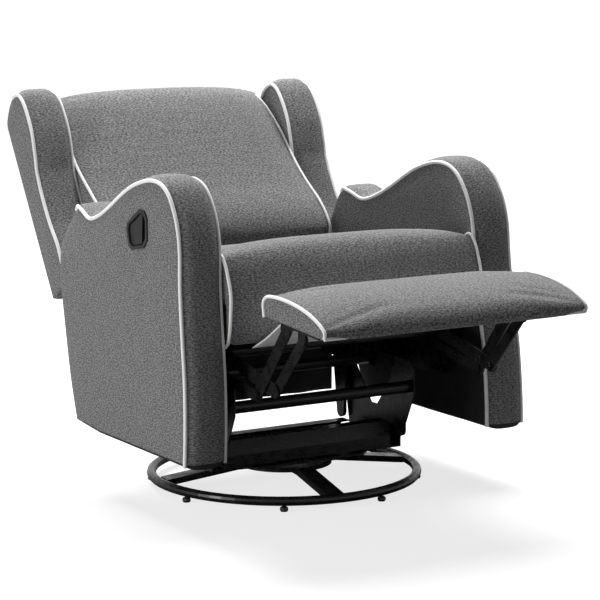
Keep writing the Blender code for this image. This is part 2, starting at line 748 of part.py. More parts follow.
def build_mechanism_plate(name, side, finish):
    plate = bar("mechanism_plate_%s" % name, side, MECHANISM_X, mechanism_outline(), finish)
    low_z = MECHANISM_BOTTOM_Z
    reach = arm_inner(low_z + PLATE) - SEAT_GAP
    x_low, x_high = span(side, MECHANISM_X, reach)
    join(plate, block("lower_flange", (x_low, CONTROL_PIVOT[0], low_z),
                      (x_high, MECHANISM_REAR_Y - MECHANISM_HEEL, low_z + PLATE)))
    x_low, x_high = span(side, MECHANISM_X, FLANGE_X)
    join(plate, block("upper_flange", (x_low, MECHANISM_FRONT_Y + FLANGE_END, MECHANISM_TOP_Z - PLATE),
                      (x_high, SEAT_FRAME_REAR_Y - FLANGE_END, MECHANISM_TOP_Z)))
    add_pin(plate, side, LOWER_PIVOT, MECHANISM_X, MECHANISM_X - 4.4 * PLATE_PITCH, head=False)
    add_pin(plate, side, CONTROL_PIVOT, MECHANISM_X, MECHANISM_X - PLATE_PITCH)
    add_pin(plate, side, BACK_PIVOT, MECHANISM_X, MECHANISM_X + PLATE_PITCH)
    return plate


def build_cross_tube(name, place, half_length, finish):
    tube = rod_x(name, place, TUBE_RADIUS, -half_length, half_length, finish)
    cut(tube, rod_x("bore", place, TUBE_RADIUS - TUBE_WALL,
                    -half_length - OVERRUN, half_length + OVERRUN))
    soft_edges(tube)
    return tube


def build_seat(carriage, finishes):
    low_z = MECHANISM_TOP_Z + SEAT_GAP
    outline = [(SEAT_FRAME_FRONT_Y, low_z), (SEAT_FRAME_REAR_Y, low_z),
               (SEAT_FRAME_REAR_Y, SEAT_FRAME_REAR_Z), (SEAT_FRAME_FRONT_Y, SEAT_FRAME_FRONT_Z)]
    frame = prism_x("seat_frame", outline, -SEAT_FRAME_X, SEAT_FRAME_X, finishes["wood"])
    front = SEAT_FRAME_FRONT_Y + SEAT_WALL
    rear = SEAT_FRAME_REAR_Y - SEAT_WALL
    fall = (SEAT_FRAME_REAR_Z - SEAT_FRAME_FRONT_Z) / (SEAT_FRAME_REAR_Y - SEAT_FRAME_FRONT_Y)
    hollow = [(front, low_z - OVERRUN), (rear, low_z - OVERRUN),
              (rear, SEAT_FRAME_FRONT_Z + fall * (rear - SEAT_FRAME_FRONT_Y) - SEAT_DECK),
              (front, SEAT_FRAME_FRONT_Z + fall * SEAT_WALL - SEAT_DECK)]
    inner = SEAT_FRAME_X - SEAT_WALL
    cut(frame, prism_x("hollow", hollow, -inner, inner))
    hang(frame, carriage)

    depth = SEAT_REAR_Y - SEAT_FRONT_Y
    height = SEAT_FRONT_TOP_Z - SEAT_ROLL_BOTTOM_Z
    roll = [(SEAT_FRONT_Y + a * depth, SEAT_ROLL_BOTTOM_Z + b * height) for a, b in SEAT_ROLL_SHARES]
    behind = SEAT_FRAME_FRONT_Y - SOFT_GAP
    rear_low = SEAT_FRAME_REAR_Z + SOFT_GAP + fall * (SEAT_REAR_Y - SEAT_FRAME_REAR_Y)
    top = [(SEAT_FRONT_Y + a * depth, SEAT_REAR_TOP_Z + b * (SEAT_FRONT_TOP_Z - SEAT_REAR_TOP_Z))
           for a, b in SEAT_TOP_SHARES]
    outline = smooth(roll, 2) + top
    outline += [(SEAT_REAR_Y, rear_low), (behind, SEAT_FRAME_FRONT_Z + SOFT_GAP),
                (behind, SEAT_ROLL_BOTTOM_Z + 0.5 * SEAT_FLAP)]
    rings = padded_rings(outline, SEAT_CUSHION_X, SEAT_CROWN, SEAT_ROLL, fixed=3)
    for ring in rings:
        for index, (y, z) in enumerate(outline[:-3]):
            if z < SEAT_FRAME_FRONT_Z and y < behind + SEAT_FLAP_DEPTH:
                ring[index] = (ring[index][0], min(ring[index][1], behind - SEAT_FLAP), ring[index][2])
    pad = padded_solid("seat_cushion", rings, finishes["fabric"])
    soft_edges(pad)
    hang(pad, carriage)


def build_carriage(finishes):
    carriage = pivot("carriage", (0, RING_CENTRE_Y, GLIDE_TOP_Z - GLIDE_LINK_LENGTH))
    steel = finishes["steel"]
    tubes = ((MIDDLE_TUBE_Y, CROSS_TUBE_Z), (REAR_TUBE_Y, CROSS_TUBE_Z))
    for name, side in SIDES:
        rail = bar("glider_rail_%s" % name, side, RAIL_X, rail_outline(), steel,
                   holes=tubes, hole_radius=TUBE_RADIUS + SEAT_GAP)
        for place in glide_tops():
            low = (place[0], place[1] - GLIDE_LINK_LENGTH)
            add_pin(rail, side, low, RAIL_X, LINK_X)
        hang(rail, carriage)
        plate = build_mechanism_plate(name, side, steel)
        hang(plate, carriage)
    half = MECHANISM_X - PLATE / 2 - SEAT_GAP
    hang(build_cross_tube("middle_cross_tube", tubes[0], half, steel), carriage)
    hang(build_cross_tube("rear_cross_tube", tubes[1], half, steel), carriage)
    front = build_cross_tube("front_cross_tube", (FRONT_TUBE_Y, FRONT_TUBE_Z),
                             RAIL_X - PLATE / 2 - SEAT_GAP, steel)
    hang(front, carriage)

    for name, side in SIDES:
        arm = build_arm("arm_%s" % name, side, finishes["fabric"])
        if name == "right":
            cut(arm, handle_solid("pocket", SEAT_GAP, -OVERRUN,
                                  HANDLE_CUP_DEPTH + HANDLE_WALL + SEAT_GAP))
        soft_edges(arm, 50.0)
        hang(arm, carriage)
    build_seat(carriage, finishes)
    build_lining(carriage, finishes)
    build_rear_lining(carriage, finishes)
    return carriage


def build_lining(carriage, finishes):
    """The cloth that closes the gap between the seat and the footrest."""
    front = footrest_point(-FOOTREST_REAR + BOARD_INSET, BOARD_BELOW - SEAT_GAP)
    rear = (SEAT_FRONT_Y + 2 * LINING_THICKNESS, SEAT_ROLL_BOTTOM_Z - SEAT_GAP - LINING_THICKNESS)
    outline = [rear, front, (front[0], front[1] - LINING_THICKNESS),
               (rear[0] + LINING_THICKNESS, rear[1] - LINING_THICKNESS)]
    made = prism_x("gap_lining", outline, -LINING_HALF_WIDTH, LINING_HALF_WIDTH, finishes["lining"])
    hang(made, carriage)


def build_rear_lining(carriage, finishes):
    """Black cloth that hangs from the seat frame's rear, over the mechanism."""
    near = SEAT_FRAME_REAR_Y + SEAT_GAP
    made = block("rear_lining", (-REAR_LINING_HALF_WIDTH, near, REAR_LINING_BOTTOM_Z),
                 (REAR_LINING_HALF_WIDTH, near + LINING_THICKNESS, REAR_LINING_TOP_Z),
                 finishes["black_lining"])
    hang(made, carriage)


# Release handle


def handle_outline(grow):
    y, z = HANDLE_CENTRE
    points = [(y - a * HANDLE_HALF_DEPTH, z + b * HANDLE_HALF_HEIGHT) for a, b in HANDLE_SHARES]
    middle = (sum(p[0] for p in points) / len(points), sum(p[1] for p in points) / len(points))
    grown = []
    for point in points:
        distance = math.dist(point, middle)
        grown.append(along(middle, point, distance + grow))
    return grown


def handle_solid(name, grow, near, deep, finish=None, outline=None):
    """A prism in the right arm, from near to deep below the arm's outer face."""
    shape = outline or handle_outline(grow)
    return prism_x(name, shape, lambda y, z: -arm_outer(z) + near,
                   lambda y, z: -arm_outer(z) + deep, finish)


def crossing(outline, y):
    """The lowest and highest z at which an outline crosses a given y."""
    found = []
    for a, b in zip(outline, outline[1:] + outline[:1]):
        if (a[0] - y) * (b[0] - y) < 0:
            found.append(a[1] + (b[1] - a[1]) * (y - a[0]) / (b[0] - a[0]))
    return min(found), max(found)


def leaning_rod(name, ends, radius, count=10):
    """A rod between two points, with level end faces."""
    bm = bmesh.new()
    rings = [[bm.verts.new((a, b, end[2])) for a, b in circle(end[:2], radius, count)] for end in ends]
    skin(bm, rings)
    return make_object(name, bm, None)


def paddle_outline():
    """The paddle: the cup's rear part, clear of the rim and the finger gap."""
    inner = handle_outline(-HANDLE_RIM - PADDLE_GAP)
    limit = min(y for y, z in inner) + FINGER_GAP
    return [(max(y, limit), z) for y, z in inner]


def build_handle(carriage, finishes):
    bezel = handle_solid("handle_bezel", 0.0, 0.0, HANDLE_CUP_DEPTH + HANDLE_WALL, finishes["plastic"])
    rim = handle_solid("rim", HANDLE_RIM, -HANDLE_PROUD, -SEAT_GAP)
    neck = handle_solid("neck", 0.0, -HANDLE_PROUD, HANDLE_CUP_DEPTH)
    join(bezel, rim)
    join(bezel, neck)
    cut(bezel, handle_solid("cup", -HANDLE_RIM, -HANDLE_PROUD - OVERRUN, HANDLE_CUP_DEPTH))
    hang(bezel, carriage)

    outline = paddle_outline()
    hinge_y = max(y for y, z in outline) - PADDLE_THICKNESS / 2
    place = (-arm_outer(HANDLE_CENTRE[1]) + PADDLE_THICKNESS / 2, hinge_y, HANDLE_CENTRE[1])
    carrier = pivot("paddle_axis", place, parent=carriage)
    paddle = handle_solid("handle_paddle", 0.0, 0.0, PADDLE_THICKNESS, finishes["plastic"], outline)
    low_z, high_z = crossing(handle_outline(-HANDLE_RIM), hinge_y + PADDLE_PIN_RADIUS)
    ends = [(-arm_outer(z) + PADDLE_THICKNESS / 2, hinge_y, z)
            for z in (low_z + SEAT_GAP, high_z - SEAT_GAP)]
    join(paddle, leaning_rod("pin", ends, PADDLE_PIN_RADIUS))
    hang(paddle, carrier)


# Footrest


def footrest_point(ahead, above):
    turn = math.radians(FOOTREST_TILT)
    return (FOOTREST_PIVOT[0] - ahead * math.cos(turn) - above * math.sin(turn),
            FOOTREST_PIVOT[1] - ahead * math.sin(turn) + above * math.cos(turn))


def build_footrest_links(carriage, finishes):
    steel = finishes["steel"]
    plane = [MECHANISM_X - step * PLATE_PITCH for step in range(LINK_PLANES)]
    lower_end = along(LOWER_PIVOT, KNEE_PIVOT, math.dist(LOWER_PIVOT, KNEE_PIVOT) + KNEE_LIFT)
    tail = along(FOOTREST_PIVOT, KNEE_PIVOT, math.dist(FOOTREST_PIVOT, KNEE_PIVOT) + TAIL_LENGTH)
    front_top = footrest_point(FRONT_PIVOT_AHEAD, -FRONT_PIVOT_BELOW)

    lower = pivot("lower_link_axis", (0, *LOWER_PIVOT), parent=carriage)
    control = pivot("control_link_axis", (0, *CONTROL_PIVOT), parent=carriage)
    upper = pivot("upper_link_axis", (0, *KNEE_PIVOT), parent=lower)
    footrest = pivot("footrest_axis", (0, *FOOTREST_PIVOT), FOOTREST_TILT, parent=upper)
    front = pivot("front_link_axis", (0, *lower_end), parent=lower)

    for name, side in SIDES:
        made = bar("lower_link_%s" % name, side, plane[3],
                   capsule(LOWER_PIVOT, lower_end, LOWER_LINK_RADIUS), steel,
                   holes=(LOWER_PIVOT, KNEE_PIVOT))
        add_pin(made, side, lower_end, plane[3], plane[4])
        hang(made, lower)
        made = bar("control_link_%s" % name, side, plane[1],
                   capsule(CONTROL_PIVOT, tail, CONTROL_LINK_RADIUS), steel, holes=(CONTROL_PIVOT,))
        add_cap(made, side, tail, plane[1], 1.0)
        hang(made, control)
        made = bar("upper_link_%s" % name, side, plane[2],
                   capsule(FOOTREST_PIVOT, tail, UPPER_LINK_RADIUS), steel, holes=(FOOTREST_PIVOT,))
        add_pin(made, side, KNEE_PIVOT, plane[2], plane[3])
        add_cap(made, side, tail, plane[2], -1.0)
        hang(made, upper)
        made = bar("front_link_%s" % name, side, plane[4],
                   capsule(front_top, lower_end, FRONT_LINK_RADIUS), steel, holes=(lower_end,))
        add_cap(made, side, front_top, plane[4], -1.0)
        hang(made, front)
        build_bracket(name, side, plane, front_top, footrest, steel)

    half = plane[3] - PLATE / 2 - SEAT_GAP
    tube = rod_x("torque_tube", LOWER_PIVOT, TORQUE_TUBE_RADIUS, -half, half, steel)
    cut(tube, rod_x("bore", LOWER_PIVOT, TORQUE_TUBE_BORE, -half - OVERRUN, half + OVERRUN))
    soft_edges(tube)
    hang(tube, lower)
    return footrest


def build_bracket(name, side, plane, front_top, footrest, steel):
    """An angle under the board, with a row of fixing holes in its flange."""
    high = BOARD_BELOW - SEAT_GAP
    lobe = BRACKET_DEPTH - BOARD_BELOW
    lip = 0.5 * BRACKET_DEPTH
    outline = [(-BRACKET_REAR, high), (-BRACKET_REAR, -0.5 * lobe), (-0.4 * BRACKET_REAR, -lobe),
               (0.6 * BRACKET_REAR, -lobe), (1.8 * BRACKET_REAR, high - lip),
               (BRACKET_FRONT, high - lip), (BRACKET_FRONT, high)]
    world = [footrest_point(a, b) for a, b in outline]
    made = bar("footrest_bracket_%s" % name, side, plane[1], world, steel)
    top = high - SEAT_GAP
    flange = [footrest_point(PLATE - BRACKET_REAR, top), footrest_point(BRACKET_FRONT - PLATE, top),
              footrest_point(BRACKET_FRONT - PLATE, top - PLATE),
              footrest_point(PLATE - BRACKET_REAR, top - PLATE)]
    join(made, prism_x("flange", flange, *span(side, plane[1] - BRACKET_FLANGE, plane[1])))
    for step in range(BRACKET_HOLES):
        ahead = BRACKET_FRONT * (0.50 + 0.11 * step)
        cut(made, rod_x("hole", footrest_point(ahead, high - BRACKET_HOLE_BELOW), BRACKET_HOLE_RADIUS,
                        *span(side, plane[1] - OVERRUN, plane[1] + OVERRUN), count=8))
    add_pin(made, side, FOOTREST_PIVOT, plane[1], plane[2])
    tab_top = footrest_point(FRONT_PIVOT_AHEAD, high - FRONT_LINK_RADIUS - PLATE / 2)
    join(made, bar("tab", side, plane[3], capsule(tab_top, front_top, FRONT_LINK_RADIUS), steel))
    hang(made, footrest)


def build_footrest(footrest, finishes):
    length = FOOTREST_REAR + FOOTREST_FRONT
    board_low = BOARD_BELOW
    board_high = BOARD_BELOW + BOARD_THICKNESS
    half = FOOTREST_HALF_WIDTH - BOARD_INSET
    board_rear = FOOTREST_REAR - BOARD_INSET
    board_front = 2 * BOARD_INSET - FOOTREST_FRONT
    outline = [(board_rear, board_low), (board_rear, board_high), (board_front, board_high),
               (board_front, board_low)]
    board = prism_x("footrest_board", outline, -half, half, finishes["wood"])
    hang_local(board, footrest)

    base = board_high + SOFT_GAP
    outline = [(FOOTREST_REAR - a * length, base + b * PAD_THICKNESS) for a, b in PAD_TOP_SHARES]
    shape = smooth(outline, 2)
    front_low = FOOTREST_FRONT - 2 * BOARD_INSET + SOFT_GAP
    shape = shape[1:] + [(-front_low, board_low), (-front_low, base), shape[0]]
    rings = padded_rings(shape, FOOTREST_HALF_WIDTH, PAD_CROWN, PAD_ROLL, fixed=3)
    pad = padded_solid("footrest_pad", rings, finishes["fabric"])
    soft_edges(pad)
    hang_local(pad, footrest)


def padded_rings(outline, half_width, crown, roll, fixed=0, narrow=None):
    """Rings across X that swell in the middle and are drawn in at the ends.

    The last few points of the outline stay in place: they rest on a board.
    """
    count = len(outline)
    normals = outward(outline)
    rings = []
    for share, full in PAD_STATIONS:
        swell = crown * full if full > 0 else roll * full
        ring = []
        for index, ((y, z), normal) in enumerate(zip(outline, normals)):
            amount = 0.0 if index >= count - fixed else swell
            width = narrow(y, z) if narrow else 1.0
            ring.append((share * half_width * width, y + normal[0] * amount, z + normal[1] * amount))
        rings.append(ring)
    return rings


# Back


def build_back(finishes, carriage):
    back = pivot("back_axis", (0, *BACK_PIVOT), -BACK_RECLINE, parent=carriage)
    height = BACK_TOP - BACK_BOTTOM
    fabric = finishes["fabric"]

    def place(a, b):
        return (BACK_REAR - a * WING_DEPTH, BACK_BOTTOM + b * height)

    wing = [place(a, b) for a, b in WING_SHARES[:2]]
    wing += smooth([place(a, b) for a, b in WING_SHARES[1:]], 2)[1:]
    middle = (WING_INNER_X + WING_OUTER_X) / 2
    half = (WING_OUTER_X - WING_INNER_X) / 2
    for name, side in SIDES:
        rings = padded_rings(wing, half, 0.0, WING_ROLL)
        shifted = [[(x + side * middle, y, z) for x, y, z in ring] for ring in rings]
        made = padded_solid("wing_%s" % name, shifted, fabric)
        soft_edges(made)
        hang_local(made, back)

    frame_rear = BACK_REAR - BACK_COVER_THICKNESS - SEAT_GAP
    frame_front = frame_rear - BACK_FRAME_THICKNESS
    frame = block("back_frame", (-BACK_FRAME_X, frame_front, BACK_FRAME_BOTTOM),
                  (BACK_FRAME_X, frame_rear, BACK_FRAME_TOP), finishes["wood"])
    hang_local(frame, back)

    cover = block("back_cover", (-BACK_FRAME_X, frame_rear + SEAT_GAP, BACK_BOTTOM),
                  (BACK_FRAME_X, BACK_REAR, BACK_FRAME_TOP), fabric)
    hang_local(cover, back)

    base = frame_front - SOFT_GAP
    tall = BACK_TOP - BACK_CUSHION_BOTTOM
    front = [(BACK_PAD_REAR - b * BACK_PAD_DEPTH, BACK_CUSHION_BOTTOM + a * tall)
             for a, b in CUSHION_FRONT_SHARES]
    shape = smooth(front, 2)
    shape += [(BACK_REAR - ahead, BACK_BOTTOM + share * height) for ahead, share in BACK_TOP_EDGE]
    shape += [(shape[-1][0], BACK_FRAME_TOP + SOFT_GAP), (base, BACK_FRAME_TOP + SOFT_GAP),
              (base, BACK_CUSHION_BOTTOM + 0.02 * tall)]
    taper = 1.0 - BACK_CUSHION_TOP_X / BACK_CUSHION_X
    waist = BACK_CUSHION_BRACKET_X / BACK_CUSHION_X
    clear = BACK_BRACKET_LENGTH + 2 * BACK_BRACKET_RADIUS

    def narrow(y, z):
        share = max(0.0, (z - BACK_CUSHION_BOTTOM) / tall - 0.5) * 2
        return (waist if z < clear else 1.0) - taper * share ** 2

    rings = padded_rings(shape, BACK_CUSHION_X, BACK_CROWN, BACK_ROLL, fixed=4, narrow=narrow)
    pad = padded_solid("back_cushion", rings, fabric)
    soft_edges(pad)
    hang_local(pad, back)

    plane = MECHANISM_X + PLATE_PITCH
    for name, side in SIDES:
        end = (BACK_REAR - BACK_BRACKET_RADIUS - BACK_COVER_THICKNESS, BACK_BRACKET_LENGTH)
        knee = (end[0], BACK_BRACKET_KNEE * BACK_BRACKET_LENGTH)
        made = bar("back_bracket_%s" % name, side, plane,
                   capsule((0.0, 0.0), knee, BACK_BRACKET_RADIUS), finishes["steel"])
        join(made, bar("upright", side, plane, capsule(knee, end, BACK_BRACKET_RADIUS), None))
        cut(made, rod_x("hole", (0.0, 0.0), PIN_RADIUS + PIN_GAP,
                        *span(side, plane - PLATE / 2 - OVERRUN, plane + PLATE / 2 + OVERRUN)))
        hang_local(made, back)
    return back


# The whole chair


def centre_on_floor(roots):
    """Puts the origin on the floor, in the middle of the chair's box."""
    bpy.context.view_layer.update()
    depsgraph = bpy.context.evaluated_depsgraph_get()
    low = Vector((math.inf,) * 3)
    high = Vector((-math.inf,) * 3)
    for made in bpy.context.scene.objects:
        if made.type != "MESH":
            continue
        for vertex in made.evaluated_get(depsgraph).data.vertices:
            point = made.matrix_world @ vertex.co
            low = Vector(map(min, low, point))
            high = Vector(map(max, high, point))
    shift = Vector((-(low.x + high.x) / 2, -(low.y + high.y) / 2, -low.z))
    for root in roots:
        root.location += shift
    bpy.context.view_layer.update()
    print("shift", tuple(round(value, 5) for value in shift))
    print("size", tuple(round(value, 4) for value in (high - low)))
    return shift


def main():
    for old in list(bpy.context.scene.objects):
        bpy.data.objects.remove(old)
    finishes = {
        "fabric": material("woven_grey_fabric", (0.115, 0.117, 0.122), 0.92),
        "lining": material("pale_lining", (0.62, 0.62, 0.62), 0.85),
        "black_lining": material("black_lining", (0.012, 0.012, 0.013), 0.95),
        "steel": material("black_painted_steel", (0.012, 0.012, 0.013), 0.38),
        "zinc": material("zinc_plated_steel", (0.48, 0.48, 0.47), 0.35, 1.0),
        "plastic": material("black_plastic", (0.014, 0.014, 0.015), 0.45),
        "wood": material("plywood", (0.45, 0.32, 0.19), 0.7),
    }
    base = build_floor_base(finishes)
    frame = build_swivel_frame(finishes)
    build_glide_links(frame, finishes)
    carriage = build_carriage(finishes)
    build_handle(carriage, finishes)
    footrest = build_footrest_links(carriage, finishes)
    build_footrest(footrest, finishes)
    build_back(finishes, carriage)
    centre_on_floor((base, frame, carriage))


main()
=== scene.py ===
# %% [markdown]
# # A glider recliner, dressed over its CAD
#
# The chair has steel below, a wooden frame inside, and padding with a grey
# woven cover outside. The steel comes ready from the CAD. Everything soft is
# made again here, because a sewn cover is what the eye looks for first: where
# it is full, where a seam pulls it in, and how the cloth runs over it.
# The chair stays in the pose of the photograph: back laid down, footrest out.

# %% Load the chair's frame
import json
import math

import bmesh
import bpy
from mathutils import Matrix, Vector, geometry, noise
from mathutils.kdtree import KDTree


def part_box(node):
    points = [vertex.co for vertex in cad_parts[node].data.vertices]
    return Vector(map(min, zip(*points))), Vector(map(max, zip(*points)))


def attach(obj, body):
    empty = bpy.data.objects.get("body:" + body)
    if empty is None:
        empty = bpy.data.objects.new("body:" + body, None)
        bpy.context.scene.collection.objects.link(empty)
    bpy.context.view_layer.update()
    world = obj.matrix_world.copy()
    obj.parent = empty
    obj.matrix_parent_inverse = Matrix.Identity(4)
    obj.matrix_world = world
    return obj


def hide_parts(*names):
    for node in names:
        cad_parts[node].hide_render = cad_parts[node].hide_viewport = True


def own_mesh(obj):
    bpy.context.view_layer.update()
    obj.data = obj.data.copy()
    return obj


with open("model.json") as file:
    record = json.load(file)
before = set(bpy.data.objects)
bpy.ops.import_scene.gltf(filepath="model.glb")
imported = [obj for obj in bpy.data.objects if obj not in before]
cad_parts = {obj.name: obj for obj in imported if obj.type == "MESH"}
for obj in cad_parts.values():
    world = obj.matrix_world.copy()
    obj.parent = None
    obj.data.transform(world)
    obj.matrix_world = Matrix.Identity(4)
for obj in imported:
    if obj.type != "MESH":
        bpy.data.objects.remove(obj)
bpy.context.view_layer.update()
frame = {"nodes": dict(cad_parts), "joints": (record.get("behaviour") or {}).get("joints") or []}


def put(name, data):
    """A new object with this data, linked to the scene."""
    made = bpy.data.objects.new(name, data)
    bpy.context.scene.collection.objects.link(made)
    return made


def within(value):
    """The value, kept between 0 and 1."""
    return max(0.0, min(1.0, value))


# %% [markdown]
# ## Where the parts of the chair are
#
# The base ring is round, so the middle of its box is the middle of the base.
# All other sizes are set out from there. The back and the footrest lean, so
# each gets a frame of its own, in which it can be drawn upright and level.

# %% Frames of the chair, the back and the footrest
RING_CENTRE_Y = -0.067
BACK_AT, BACK_LEAN = (0.205, 0.420), -32.0
FOOT_AT, FOOT_TILT = (-0.512, 0.400), 4.0
SIDES = (("right", -1.0), ("left", 1.0))


def leaning_frame(place, turn):
    """A frame at (y, z) on the chair, turned by some degrees about x."""
    return CHAIR @ Matrix.Translation((0, *place)) @ Matrix.Rotation(math.radians(turn), 4, "X")


ring_low, ring_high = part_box("base_ring")
SHIFT = (ring_low[1] + ring_high[1]) / 2 - RING_CENTRE_Y
CHAIR = Matrix.Translation((0, SHIFT, 0))
BACK, FOOT = leaning_frame(BACK_AT, BACK_LEAN), leaning_frame(FOOT_AT, FOOT_TILT)
print("the base stands %.1f mm behind the middle of the box" % (1000 * (SHIFT + RING_CENTRE_Y)))

# %% [markdown]
# ## Camera
#
# The camera looks from the chair's front right and slightly down, with a long
# lens. Its place was found by setting the ring, the arms and the wings of the
# CAD against the same edges in the photograph.

# %% The photograph's camera
scene = bpy.context.scene
view = bpy.data.cameras.new("photograph_view")
view.lens = 138.68
view.sensor_width = 36.0
camera = put("photograph_view", view)
camera.location = (-2.35768, -4.07540 + SHIFT, 1.10471)
camera.rotation_euler = [math.radians(turn) for turn in (81.057, 0.255, -30.924)]
scene.camera = camera
scene.view_settings.view_transform = "Standard"
print("camera at", tuple(round(value, 3) for value in camera.location))

# %% [markdown]
# ## A short way to write node trees
#
# A weave or a wood grain is a sum of many small node steps, and nodes wired
# one by one are hard to read. Signal wraps one output socket, so that
# 1 - mask or height * 0.2 adds the Math node by itself. Any other node comes
# from make(): its settings first, then the values or links of its sockets.
# A finish is then a function that gives a colour, a roughness and a height.

# %% Signals between nodes
class Signal:
    def __init__(self, tree, socket):
        self.tree = tree
        self.socket = socket

    @staticmethod
    def make(tree, kind, settings=None, inputs=None, output=0):
        node = tree.nodes.new(kind)
        for name, value in (settings or {}).items():
            setattr(node, name, value)
        for name, value in (inputs or {}).items():
            Signal.feed(tree, node.inputs[name], value)
        return Signal(tree, node.outputs[output])

    @staticmethod
    def feed(tree, socket, value):
        if isinstance(value, Signal):
            tree.links.new(value.socket, socket)
        else:
            socket.default_value = value

    def maths(self, operation, first, second=0.0, third=0.0):
        return Signal.make(self.tree, "ShaderNodeMath", {"operation": operation},
                           {0: first, 1: second, 2: third})

    def __add__(self, other):
        return self.maths("ADD", self, other)

    __radd__ = __add__

    def __sub__(self, other):
        return self.maths("SUBTRACT", self, other)

    def __rsub__(self, other):
        return self.maths("SUBTRACT", other, self)

    def __mul__(self, other):
        return self.maths("MULTIPLY", self, other)

    __rmul__ = __mul__

    def sine(self):
        return self.maths("SINE", self)

    def size(self):
        return self.maths("ABSOLUTE", self)

    def above(self, level):
        return self.maths("GREATER_THAN", self, level)

    def spread(self, low, high, to_low=0.0, to_high=1.0):
        """Stretches low..high onto to_low..to_high, and stops at both ends."""
        return Signal.make(self.tree, "ShaderNodeMapRange", {"clamp": True},
                           {"Value": self, "From Min": low, "From Max": high,
                            "To Min": to_low, "To Max": to_high})

    def tint(self, dark, light):
        """A colour between two, chosen by this value."""
        return Signal.make(self.tree, "ShaderNodeMix", {"data_type": "RGBA"},
                           {0: self, 6: (*dark, 1.0), 7: (*light, 1.0)}, output=2)

    def part(self, index):
        """The x, y or z of a vector."""
        return Signal.make(self.tree, "ShaderNodeSeparateXYZ", None, {"Vector": self},
                           output=index)

    def stretched(self, x, y, z=1.0):
        return Signal.make(self.tree, "ShaderNodeVectorMath", {"operation": "MULTIPLY"},
                           {0: self, 1: (x, y, z)})

    def speckle(self, scale, detail=2.0, roughness=0.5):
        return Signal.make(self.tree, "ShaderNodeTexNoise", {"noise_dimensions": "3D"},
                           {"Vector": self, "Scale": scale, "Detail": detail,
                            "Roughness": roughness})


def finish(name, paint, **fixed):
    """A material; paint(tree) gives its colour, roughness and height in metres."""
    made = bpy.data.materials.new(name)
    made.use_nodes = True
    tree = made.node_tree
    shader = tree.nodes["Principled BSDF"]
    for key, value in fixed.items():
        shader.inputs[key.replace("_", " ")].default_value = value
    colour, roughness, height = paint(tree)
    bump = Signal.make(tree, "ShaderNodeBump", None,
                       {"Strength": 1.0, "Distance": 1.0, "Height": height})
    for key, value in (("Base Color", colour), ("Roughness", roughness), ("Normal", bump)):
        Signal.feed(tree, shader.inputs[key], value)
    print("finish:", name)
    return made


def object_place(tree):
    """The point in the object's own coordinates."""
    return Signal.make(tree, "ShaderNodeTexCoord", output=3)


def attribute(tree, name, output):
    return Signal.make(tree, "ShaderNodeAttribute", {"attribute_name": name}, output=output)


def cells(place, scale, scatter=1.0):
    return Signal.make(place.tree, "ShaderNodeTexVoronoi", {"feature": "F1"},
                       {"Vector": place, "Scale": scale, "Randomness": scatter})


# %% [markdown]
# ## The grey cover
#
# The cover is a heathered plain weave: dark and light fibres are spun into one
# yarn, so the cloth looks mid grey from afar and speckled from near. Each
# cushion carries a map named cloth, in metres, that runs with the panel as the
# cutter laid it. The weave is a checker of yarns; where the warp is on top the
# speckles run one way, and where the weft is, the other. Near a seam the cloth
# is gathered, which the seam attribute says: the bump puckers there, and the
# colour is darkened there as painted shade of the seam's crease.

# %% Woven grey cover
YARN, YARN_HEIGHT = 0.0012, 0.00022
# The third value here is how much painted shade darkens the cover beside a seam.
GATHER_REACH, PUCKER_HEIGHT, SEAM_PAINTED_SHADE = 0.018, 0.0018, 0.16
FUZZ_HEIGHT, WAVE_HEIGHT, CREASE_HEIGHT = 0.00010, 0.0012, 0.0006


def woven_cover(tree):
    cloth = Signal.make(tree, "ShaderNodeUVMap", {"uv_map": "cloth"})
    warp = (cloth.part(0) * (math.pi / YARN)).sine()
    weft = (cloth.part(1) * (math.pi / YARN)).sine()
    warp_up = (warp * weft).above(0.0)
    warp_fibre = cloth.stretched(620.0, 170.0).speckle(1.0, 3.0, 0.62)
    weft_fibre = cloth.stretched(170.0, 620.0).speckle(1.0, 3.0, 0.62)
    fibre = warp_fibre * warp_up + weft_fibre * (1 - warp_up)
    slub = cloth.stretched(60.0, 380.0).speckle(1.0, 2.0)
    fleck = cloth.stretched(190.0, 430.0).speckle(1.0, 2.0, 0.6)
    cloud = cloth.speckle(26.0, 3.0)
    crease = cloth.stretched(12.0, 52.0).speckle(1.0, 2.0)
    shade = (fibre.spread(0.38, 0.64) * 0.30 + fleck.spread(0.42, 0.60) * 0.54
             + slub.spread(0.38, 0.66) * 0.12 + cloud.spread(0.35, 0.65) * 0.04)
    gather = attribute(tree, "seam", 2).spread(0.0, GATHER_REACH, 1.0, 0.0)
    pucker = (cloth.stretched(95.0, 95.0).speckle(1.0, 1.0) - 0.5) * gather
    # Painted shade: near a seam the colour is darkened, standing in for the shade in the seam's
    # crease; the pucker above is the real bump.
    painted_light = shade.spread(0.05, 0.95) * (1 - gather * SEAM_PAINTED_SHADE)
    height = (warp.size() * warp_up + weft.size() * (1 - warp_up)) * YARN_HEIGHT
    height = height + pucker * PUCKER_HEIGHT + (fibre - 0.5) * FUZZ_HEIGHT
    height = height + (cloud - 0.5) * WAVE_HEIGHT + crease.spread(0.45, 0.75) * CREASE_HEIGHT
    return (painted_light.tint((0.024, 0.024, 0.025), (0.355, 0.355, 0.357)),
            fibre.spread(0.2, 0.8, 0.96, 0.80), height)


GREY_COVER = finish("woven_grey_cover", woven_cover, Sheen_Weight=0.16, Sheen_Roughness=0.40,
                    Specular_IOR_Level=0.25)

